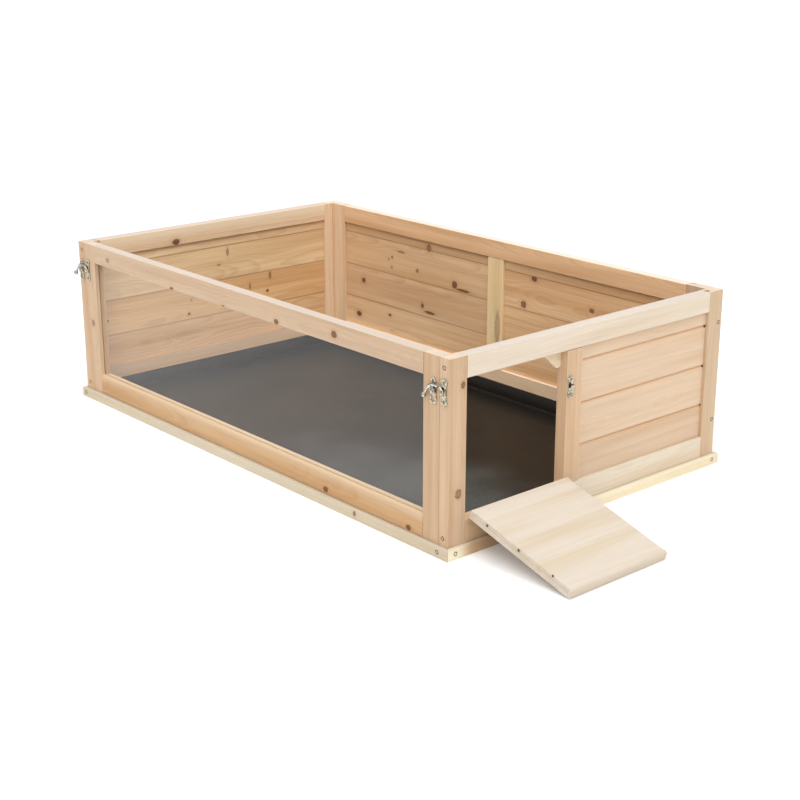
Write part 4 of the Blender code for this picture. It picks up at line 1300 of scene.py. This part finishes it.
@dataclass
class Studio:
    """A pale floor, soft light all round and the camera."""

    eye: Point = (1.74741, -1.48357, 0.80271)
    right: Point = (0.65750768, 0.75344770, 0.00046118)
    up: Point = (-0.23686, 0.20612, 0.94942)
    ahead: Point = (-0.71524704, 0.62436348, -0.31399351)
    lens: float = 68.17
    sensor: float = 36.0
    floor_radii: tuple[float, ...] = (4.0, 12.0, 60.0)
    floor_around: int = 96
    floor_tone: Colour = (0.97, 0.97, 0.97)
    floor_roughness: float = 0.9
    towards_light: Point = (0.46, -0.44, 0.77)
    light_angle: float = math.radians(75.0)
    overhead: float = 2.1
    horizon: float = 0.1
    crown: float = 1.0
    crown_height: float = 0.6
    backdrop: float = 1.3
    pendant_size: tuple[float, float] = (0.8, 0.4)
    pendant_power: float = 6.0
    pendant_rise: float = 1.3

    def build(self) -> None:
        """Put up the floor, the sky, the lamps and the camera."""
        self.floor()
        self.sky()
        self.sun()
        self.pendant()
        self.camera()

    def floor(self) -> None:
        """A wide pale disc: rings of radius * (cos, sin), closed to a pole in the middle."""
        angle = full_turn(self.floor_around)
        rim = np.stack([np.cos(angle), np.sin(angle), np.zeros_like(angle)], axis=-1)
        rings = rim[None] * np.array(self.floor_radii)[:, None, None]
        disc = skin("studio_floor", rings, start=(0.0, 0.0, 0.0))
        material, bench = new_finish("studio_paper")
        bench.surface(bench.fill(bench.add("BsdfPrincipled"), {
            "Base Color": self.floor_tone, "Roughness": self.floor_roughness}))
        disc.data.materials.append(material)

    def sky(self) -> None:
        """White light all round, stronger overhead than at the horizon, and plain white to look at."""
        world = bpy.data.worlds.new("studio_sky")
        world.use_nodes = True
        bench = Bench(world.node_tree)
        height = bench.axes(bench.add("TexCoord").outputs["Generated"])["Z"]
        glow = bench.span(height, 0.0, self.crown_height, self.horizon, self.crown)
        seen = bench.times(bench.add("LightPath").outputs["Is Camera Ray"], self.backdrop)
        lights = bench.fill(bench.add("Background"), {"Strength": bench.math("MAXIMUM", glow, seen)})
        bench.fill(bench.add("OutputWorld"), {"Surface": lights.outputs[0]})
        bpy.context.scene.world = world

    def sun(self) -> None:
        """One very wide soft light from overhead, a little to the right and the front."""
        light = bpy.data.lights.new("overhead", "SUN")
        light.angle = self.light_angle
        light.energy = self.overhead
        show("overhead", light).matrix_world = axes_of(self.towards_light).to_4x4()

    def pendant(self) -> None:
        """A soft oblong light above the pen that opens up its inside."""
        light = bpy.data.lights.new("pendant", "AREA")
        light.shape = "RECTANGLE"
        light.size, light.size_y = self.pendant_size
        light.energy = self.pendant_power
        show("pendant", light).location = (0.0, 0.0, self.pendant_rise)

    def camera(self) -> None:
        """The camera at the picture's place and angle."""
        lens = bpy.data.cameras.new("camera")
        lens.lens = self.lens
        lens.sensor_width = self.sensor
        thing = show("camera", lens)
        columns = (self.right, self.up, tuple(-value for value in self.ahead))
        thing.matrix_world = Matrix.Translation(self.eye) @ Matrix(columns).transposed().to_4x4()
        bpy.context.scene.camera = thing
        bpy.context.scene.view_settings.view_transform = "Standard"


KNOTS: tuple[Knot, ...] = (
    Knot(at(18, 178, 228), 0.0052, 0.9),
    Knot(at(13, 202, 95), 0.0023, 1.0, 0.95, 1.0),
    Knot(at(13, 287, 193.5), 0.0024, 2.8, 0.5, 1.0),
    Knot(at(13, 267.5, 173), 0.0018, 0.7, 0.6, 1.8),
    Knot(at(13, 378.6, 137), 0.0024, 2.8, 0.6, 1.0),
    Knot(at(13, 372, 109), 0.0023, 1.0, 1.0, 1.0),
    Knot(at(13, 333.4, 123), 0.0021, 2.6, 0.5, 1.0),
    Knot(at(13, 39.2, 111), 0.0018, 1.0, 0.8, 1.0),
    Knot(at(13, 208, 119), 0.0018, 1.3, 0.4, 1.0),
    Knot(at(13, 112, 60.5), 0.0042, 0.8, 0.12, 2.6),
    Knot(at(13, 196, 62), 0.006, 0.7, 0.08, 3.6),
    Knot(at(206, 527, 190.7), 0.0026, 0.7, 0.6, 3.6),
    Knot(at(182, 527, 177), 0.0022, 1.0, 0.75, 1.0),
    Knot(at(172.5, 527, 172.3), 0.0017, 1.0, 0.7, 1.0),
    Knot(at(180.6, 527, 158.8), 0.0024, 1.0, 0.45, 1.2),
    Knot(at(249.5, 527, 164), 0.0028, 1.1, 0.65, 1.2),
    Knot(at(346, 527, 156.5), 0.0046, 1.3, 0.95, 1.2),
    Knot(at(367, 527, 150.3), 0.0036, 0.6, 0.95, 4.0),
    Knot(at(101.5, 527, 120), 0.0032, 1.3, 1.0, 1.4),
    Knot(at(263.7, 527, 103.5), 0.003, 1.4, 0.95, 1.1),
    Knot(at(283, 527, 94), 0.0036, 0.65, 0.9, 3.4),
    Knot(at(87.6, 527, 53.8), 0.0044, 1.0, 1.0, 1.4),
    Knot(at(175.7, 527, 68.5), 0.0024, 1.1, 0.85, 1.4),
    Knot(at(280, 527, 210), 0.0022, 3.0, 0.6, 2.6),
    Knot(at(535, 527, 202.4), 0.0034, 1.3, 0.95, 1.5),
    Knot(at(512.1, 527, 155), 0.0042, 1.3, 0.8, 1.3),
    Knot(at(661.5, 527, 173.8), 0.0025, 1.3, 0.8, 1.8),
    Knot(at(457.5, 522, 104), 0.0056, 1.0, 0.32, 5.0),
    Knot(at(620, 527, 70), 0.003, 1.0, 0.9, 1.5),
    Knot(at(770, 527, 118), 0.0024, 1.1, 0.9, 1.5),
    Knot(at(91, 0, 235), 0.0036, 1.0, 0.45),
    Knot(at(33, 0, 119), 0.0042, 1.0, 0.55),
    Knot(at(278, 0, 223), 0.003),
    Knot(at(414, 0, 222), 0.003),
    Knot(at(544, 0, 227), 0.0036, 1.0, 0.9),
    Knot(at(673, 0, 236), 0.0042, 1.0, 0.9),
    Knot(at(650, 0, 7.5), 0.0038),
    Knot(at(824, 0, 5.7), 0.0034),
    Knot(at(900, 23, 215), 0.0034, 1.0, 0.8),
    Knot(at(900, 17, 71), 0.005, 1.0, 0.6),
    Knot(at(720, -6, -6), 0.0022, 1.5, 0.8),
)
# The walls' lower edge, and how far above it the boards' joints are, in millimetres.
SEAM_RISE = 15.3
WALL_SEAMS = tuple((height + SEAM_RISE) / MILLIMETRES for height in (84.9, 145.3, 205.7))
DOOR_WALL_SEAMS = tuple((height + SEAM_RISE) / MILLIMETRES for height in (80.6, 141.0, 201.4))


@dataclass
class Base:
    """The plinth's boards and the floor panel."""

    bank: TimberBank

    def dress(self) -> None:
        """Finish the plinth and the panel."""
        # The right plinth board is darkened under the ramp: painted shade.
        right = PALE.toned(1.13, 1.19, 1.2, stain=(0.64, 0.47, 0.36))
        for name, grain, face, timber in (("front", Grain.ALONG_X, Face.SIDE, PALE.toned(0.77, 0.78, 0.78)),
                                          ("back", Grain.ALONG_X, Face.SIDE, PALE.toned(0.84, 0.86, 0.87)),
                                          ("left", Grain.ALONG_Y, Face.END, PALE.toned(0.88, 0.88, 0.88)),
                                          ("right", Grain.ALONG_Y, Face.END, right)):
            self.bank.dress("plinth_" + name, timber, grain, face)
        self.bank.dress("floor_panel", STRAW, Grain.ALONG_X, Face.TOP)


@dataclass
class BoardedWall:
    """A wall of stiles, rails and matched boards, with the seam heights of its boards."""

    bank: TimberBank
    name: str
    grain: Grain
    face: Face
    stiles: dict[str, Timber]
    rails: dict[str, Timber]
    boards: dict[str, tuple[Timber, ...]] = field(default_factory=dict)
    joints: tuple[float, ...] = ()

    def dress(self) -> None:
        """Finish every piece of the wall."""
        for node, timber in self.stiles.items():
            self.bank.dress(node, timber, Grain.ALONG_Z, self.face)
        for node, timber in self.rails.items():
            self.bank.dress(node, timber, self.grain, self.face)
        for prefix, timbers in self.boards.items():
            for number, timber in enumerate(timbers, 1):
                self.bank.dress(f"{prefix}_{number}", timber, self.grain, self.face, self.joints)
        LOG.info("%s wall finished", self.name)


def left_wall(bank: TimberBank) -> BoardedWall:
    """The end wall away from the ramp.

    Args:
        bank: The shared timber.

    Returns:
        The wall.
    """
    # The top rail's crown tone is painted light on its top face. The bottom rail's dark crown tone is
    # painted shade on its ledge.
    rail = replace(INSIDE_PEACH_PAINTED_LIGHT, top_paling=0.8, crest=0.9, crown=tone(193, 174, 163))
    foot = INSIDE_PEACH_PAINTED_LIGHT.toned(0.86, 0.82, 0.78, crest=0.92, crown=tone(150, 116, 86))
    return BoardedWall(
        bank, "left", Grain.ALONG_Y, Face.END,
        {"left_rear_stile": INSIDE_PEACH_PAINTED_LIGHT.toned(1.06, 1.07, 1.09), "left_front_stile": PEACH},
        {"left_top_rail": rail, "left_bottom_rail": foot},
        # The fourth board, in the top rail's shadow, is toned much lighter: painted light.
        {"left_board": (TAN.toned(0.98, 0.97, 0.93), TAN.toned(1.02, 1.0, 0.91),
                        TAN.toned(1.04, 1.14, 1.18), TAN.toned(1.2, 1.36, 1.52))}, WALL_SEAMS)


def back_wall(bank: TimberBank) -> BoardedWall:
    """The long wall at the back, with a stile between its two bays.

    Args:
        bank: The shared timber.

    Returns:
        The wall.
    """
    # The rail's top face takes the crown tone: painted light.
    rail = TAN.toned(1.02, 1.0, 1.02, contrast=0.22, crest=0.85)
    return BoardedWall(
        bank, "back", Grain.ALONG_X, Face.SIDE,
        {"back_right_stile": PEACH, "back_left_stile": INSIDE_PEACH_PAINTED_LIGHT,
         "back_mid_stile": STRAW.toned(1.06, 1.06, 1.0)},
        {"back_top_rail": rail, "back_bottom_rail": INSIDE_PEACH_PAINTED_LIGHT},
        {"back_right_board": (TAN.toned(1.0, 0.98, 0.96),) * 4,
         "back_left_board": (TAN.toned(1.02, 1.06, 1.1), TAN.toned(0.93, 0.96, 1.02),
                             TAN.toned(0.94, 0.96, 0.98), TAN.toned(0.98, 0.99, 0.99))}, WALL_SEAMS)


def right_wall(bank: TimberBank) -> BoardedWall:
    """The end wall with the ramp's door.

    Args:
        bank: The shared timber.

    Returns:
        The wall.
    """
    # The top rail's crown tone is painted light and shade on its top face.
    rail = PALE.toned(0.935, 0.945, 1.02, crest=0.7, crown=tone(186, 176, 168))
    # The bottom rail is darkened under the ramp: painted shade.
    foot = CREAM.toned(1.04, 1.2, 1.34, stain=(0.82, 0.64, 0.5))
    return BoardedWall(
        bank, "right", Grain.ALONG_Y, Face.END,
        {"right_front_stile": PEACH.toned(1.02, 1.02, 1.02),
         "right_rear_stile": PEACH.toned(1.04, 1.1, 1.14), "door_post": PEACH.toned(1.1, 1.08, 1.06)},
        {"right_top_rail": rail, "right_bottom_rail": foot},
        {"right_board": (CREAM.toned(0.94, 0.93, 0.92), CREAM, CREAM, CREAM)}, DOOR_WALL_SEAMS)


def window_frame(bank: TimberBank) -> BoardedWall:
    """The lift-off window's frame.

    Args:
        bank: The shared timber.

    Returns:
        The frame.
    """
    # The top rail's crown tone is painted light on its top face.
    rail = PEACH.toned(1.0, 1.04, 1.1, crown=tone(190, 191, 190))
    foot = replace(ORANGE, crest=0.0, top_paling=0.66, top_paling_foot=0.66, top_paling_tone=tone(202, 180, 152))
    return BoardedWall(
        bank, "window", Grain.ALONG_X, Face.SIDE,
        {"front_left_stile": PEACH, "front_right_stile": PEACH.toned(0.96, 0.95, 0.92)},
        {"front_top_rail": rail, "front_bottom_rail": foot})


@dataclass
class LooseTimber:
    """The door stop, the window's pegs and the ramp's board."""

    bank: TimberBank

    def dress(self) -> None:
        """Finish each piece."""
        self.bank.dress("door_stop", STRAW.toned(1.0, 1.06, 1.2), Grain.ALONG_Y, Face.END)
        for node in ("left_dowel", "right_dowel"):
            self.bank.dress(node, PALE, Grain.ALONG_Z, Face.SIDE)
        self.bank.dress("ramp_board", RAMP, Grain.ALONG_Y, Face.TOP)


FRAME_SCREWS: tuple[Spot, ...] = tuple((place, outward, "enclosure") for place, outward in (
    (at(10, 0, 239.5), SOUTH), (at(10, 0, 11.3), SOUTH),
    (at(890, 0, 239.5), SOUTH), (at(890, 0, 11.3), SOUTH),
    (at(900, 533, 204), EAST), (at(0, 533, 204), WEST),
    (at(900, 533, 55), EAST), (at(0, 533, 55), WEST),
    (at(4.5, -6, -7), SOUTH), (at(4.5, 546, -7), NORTH),
    (at(886, -6, -7), SOUTH), (at(886, 546, -7), NORTH),
    (at(906, 8, -7), EAST), (at(-6, 8, -7), WEST),
    (at(906, 532, -7), EAST), (at(-6, 532, -7), WEST)))
BOARD_NAILS: tuple[Spot, ...] = (
    (at(895, 507.7, 201.0), EAST, "enclosure"), (at(895, 508.7, 140.6), EAST, "enclosure"),
    (at(895, 509.7, 81.7), EAST, "enclosure"), (at(938.2, 31.7, 35.9), SOUTH, "ramp"),
    (at(994.3, 31.7, 20.5), SOUTH, "ramp"), (at(1053.2, 31.7, 6.6), SOUTH, "ramp"))


@dataclass(frozen=True)
class Latch:
    """A horn latch: its side, its own frame, its plate's and lever's bodies, and how far it is open."""

    side: str
    seat: Seat
    plate_body: str
    lever_body: str
    opened: float


@dataclass(frozen=True)
class Keeper:
    """A keeper: its node and body, its right and outward directions, and how far up its screws are."""

    node: str
    body: str
    right: Point
    outward: Point
    rise: float

    def seat(self) -> Seat:
        """Its own frame, whose place is its middle, on its back.

        Returns:
            The frame.
        """
        low, high = (Vector(corner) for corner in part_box(self.node))
        spot = (low + high) / 2
        if self.outward == SOUTH:
            spot.y = high.y
        else:
            spot.x = low.x
        return Seat(tuple(spot), self.right, UP)


@dataclass(frozen=True)
class Fixing:
    """One screw or nail: its kind, name and finish, then its place, its direction and its body."""

    kind: CrossScrew
    name: str
    finish: bpy.types.Material
    place: Point
    outward: Point
    body: str


@dataclass
class Ironmongery:
    """Latches, keepers, hinges and every screw and nail.

    slot_box is the left, right, low and high edge of a keeper's slot. ear_rise is how far above its
    pivot a latch's screw is, the lobe rises are how far above and below its middle a keeper's screws
    are, and plate is how far their faces stand off the wood.
    """

    screw: CrossScrew = CrossScrew()
    small: CrossScrew = CrossScrew(radius=0.0026, dome=0.0007, sink=0.0011, arm=0.0021, slot=0.0006,
                                   depth=0.0012)
    nail: CrossScrew = CrossScrew(radius=0.0016, dome=0.0001, depth=0.0)
    bright: Plating = Plating()
    worn: Plating = Plating(tone(198, 193, 174), tone(106, 97, 78), 0.2, 0.0001)
    dull: Plating = Plating(tone(108, 98, 81), tone(42, 36, 28), 0.34)
    tarnished: Plating = Plating(tone(164, 156, 138), tone(58, 50, 40), 0.26, 0.0001)
    blackened_nails_and_slot_shade: Plating = Plating(tone(96, 80, 62), tone(52, 42, 34), 0.5)
    slot_box: tuple[float, float, float, float] = (-0.0037, 0.0008, -0.0011, 0.0065)
    slot_sheet: float = 0.0002
    ear_rise: float = 0.0124
    lobe_rise: float = 0.01269
    door_lobe_rise: float = 0.0098
    plate: float = 0.0012
    leaf_screw_gap: float = 0.008
    leaf_screw_rise: float = 0.0102
    leaf: float = 0.0016
    recess_seed: int = 5

    def dress(self) -> None:
        """Finish the CAD's metal, cast the latches and add the screws."""
        bright, worn = self.bright.material("nickel_plate"), self.worn.material("worn_plate")
        # The dark nail finish also colours the painted shade behind the keepers' slots.
        dull, dark = self.dull.material("screw_plate"), self.blackened_nails_and_slot_shade.material("nail_heads_and_slot_shade")
        tarnished = self.tarnished.material("small_screw_plate")
        for node in frame["nodes"]:
            if "hinge" in node:
                dress_node(node, worn)
        fixings = [Fixing(self.screw, "frame_screw", dull, *spot) for spot in FRAME_SCREWS]
        fixings += [Fixing(self.small, "hinge_screw", tarnished, *spot) for spot in self.hinge_places()]
        fixings += [Fixing(self.nail, "board_nail", dark, *spot) for spot in BOARD_NAILS]
        for latch in self.latches():
            node = latch.side + "_latch"
            self.fit(HornLever().build(node + "_horn", latch.seat, latch.opened), node + "_lever",
                     latch.lever_body, bright)
            self.fit(cast(merged_copy(node + "_plate"), node + "_scroll"), node + "_plate",
                     latch.plate_body, worn)
            ear = latch.seat.carry(np.array([0.0, self.ear_rise, self.plate]))
            fixings.append(Fixing(self.small, node + "_screw", tarnished, tuple(ear),
                                  tuple(latch.seat.outward()), latch.plate_body))
        for keeper in self.keepers():
            seat = keeper.seat()
            self.fit(cast(merged_copy(keeper.node), keeper.node + "_hook"), keeper.node, keeper.body, worn)
            # Each keeper's slot is backed with a dark sheet: painted shade.
            self.painted_slot_shade(keeper.node, seat, keeper.body, dark)
            for way in (-1, 1):
                place = seat.carry(np.array([0.0, way * keeper.rise, self.plate]))
                fixings.append(Fixing(self.small, keeper.node + "_screw", tarnished, tuple(place),
                                      keeper.outward, keeper.body))
        luck = np.random.default_rng(self.recess_seed)
        for number, item in enumerate(fixings, 1):
            spin = float(luck.uniform(0.0, np.pi))
            item.kind.build(f"{item.name}_{number}", item.place, item.outward, spin, item.body, item.finish)
        LOG.info("ironmongery: %d screws and nails", len(fixings))

    def painted_slot_shade(self, node: str, seat: Seat, body: str, material: bpy.types.Material) -> None:
        """Back a keeper's slot with a thin dark sheet in the gap behind it: painted shade where the slot
        shows only shadow.

        Args:
            node: The keeper.
            seat: Its middle, on its own back.
            body: The body that it rides on.
            material: The sheet's finish.
        """
        left, right, low, high = self.slot_box
        corner = np.array([(left, low), (right, low), (right, high), (left, high)])
        levels = (0.0, self.slot_sheet)
        rings = np.stack([np.column_stack([corner, np.full(4, rise)]) for rise in levels])
        poles = [tuple(seat.carry(np.array([*corner.mean(axis=0), rise]))) for rise in levels]
        sheet = skin(node + "_pocket", seat.carry(rings), *poles)
        sheet.data.shade_flat()
        sheet.data.materials.append(material)
        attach(sheet, body)
        LOG.info("%s: dark slot", sheet.name)

    def fit(self, piece: bpy.types.Object, node: str, body: str, material: bpy.types.Material) -> None:
        """Put a casting in a CAD node's place.

        Args:
            piece: The casting.
            node: The node.
            body: The body that it rides on.
            material: Its finish.
        """
        piece.data.materials.clear()
        piece.data.materials.append(material)
        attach(piece, body)
        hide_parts(node)
        LOG.info("%s: cast for %s", piece.name, node)

    def latches(self) -> tuple[Latch, ...]:
        """The three latches, each about its own joint.

        Returns:
            The left, right and ramp latches.
        """
        pivots = {name: tuple(joint["pos_m"]) for name, joint in JOINTS.items() if "pos_m" in joint}
        left = Seat(pivots["left_latch_turn"], EAST, UP)
        right = Seat(pivots["right_latch_turn"], EAST, UP)
        under = Seat(pivots["ramp_latch_turn"], NORTH, DOWN_RAMP)
        return (Latch("left", left, "enclosure", "left_latch_lever", 0.0),
                Latch("right", right, "front_panel", "right_latch_lever", 0.0),
                Latch("ramp", under, "ramp", "ramp_latch_lever", math.pi / 2))

    def keepers(self) -> tuple[Keeper, ...]:
        """The window's, the end wall's and the door post's keepers.

        Returns:
            The three keepers.
        """
        return (Keeper("left_keeper", "front_panel", EAST, SOUTH, self.lobe_rise),
                Keeper("right_keeper", "enclosure", EAST, SOUTH, self.lobe_rise),
                Keeper("door_keeper", "enclosure", NORTH, EAST, self.door_lobe_rise))

    def hinge_places(self) -> list[Spot]:
        """Where the hinge leaves' screws are: two in each leaf, either side of its middle.

        Returns:
            Their places, directions and bodies.
        """
        places = []
        down, out = Vector(DOWN_RAMP), Vector(UNDER_RAMP)
        for side in ("front", "rear"):
            low, high = (Vector(corner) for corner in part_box(side + "_hinge_pin"))
            axis = (low + high) / 2
            for way in (-self.leaf_screw_gap, self.leaf_screw_gap):
                along = Vector((0.0, way, 0.0))
                fixed = axis + along + Vector((-self.leaf, 0.0, -self.leaf_screw_rise))
                moving = axis + along + down * self.leaf_screw_rise - out * self.leaf
                places += [(tuple(fixed), EAST, "enclosure"), (tuple(moving), tuple(out), "ramp")]
        return places


def main() -> None:
    """Dress the enclosure, sub-assembly by sub-assembly, and put up the studio."""
    logging.basicConfig(level=logging.INFO, format="%(message)s")
    Studio().build()
    bank = TimberBank(KNOTS)
    Base(bank).dress()
    for wall in (left_wall, back_wall, right_wall, window_frame):
        wall(bank).dress()
    LooseTimber(bank).dress()
    dress_node("front_pane", ClearSheet().material("window_sheet"))
    Tray().build(MouldedPlastic().material("tray_plastic"))
    Ironmongery().dress()


if __name__ == "__main__":
    main()
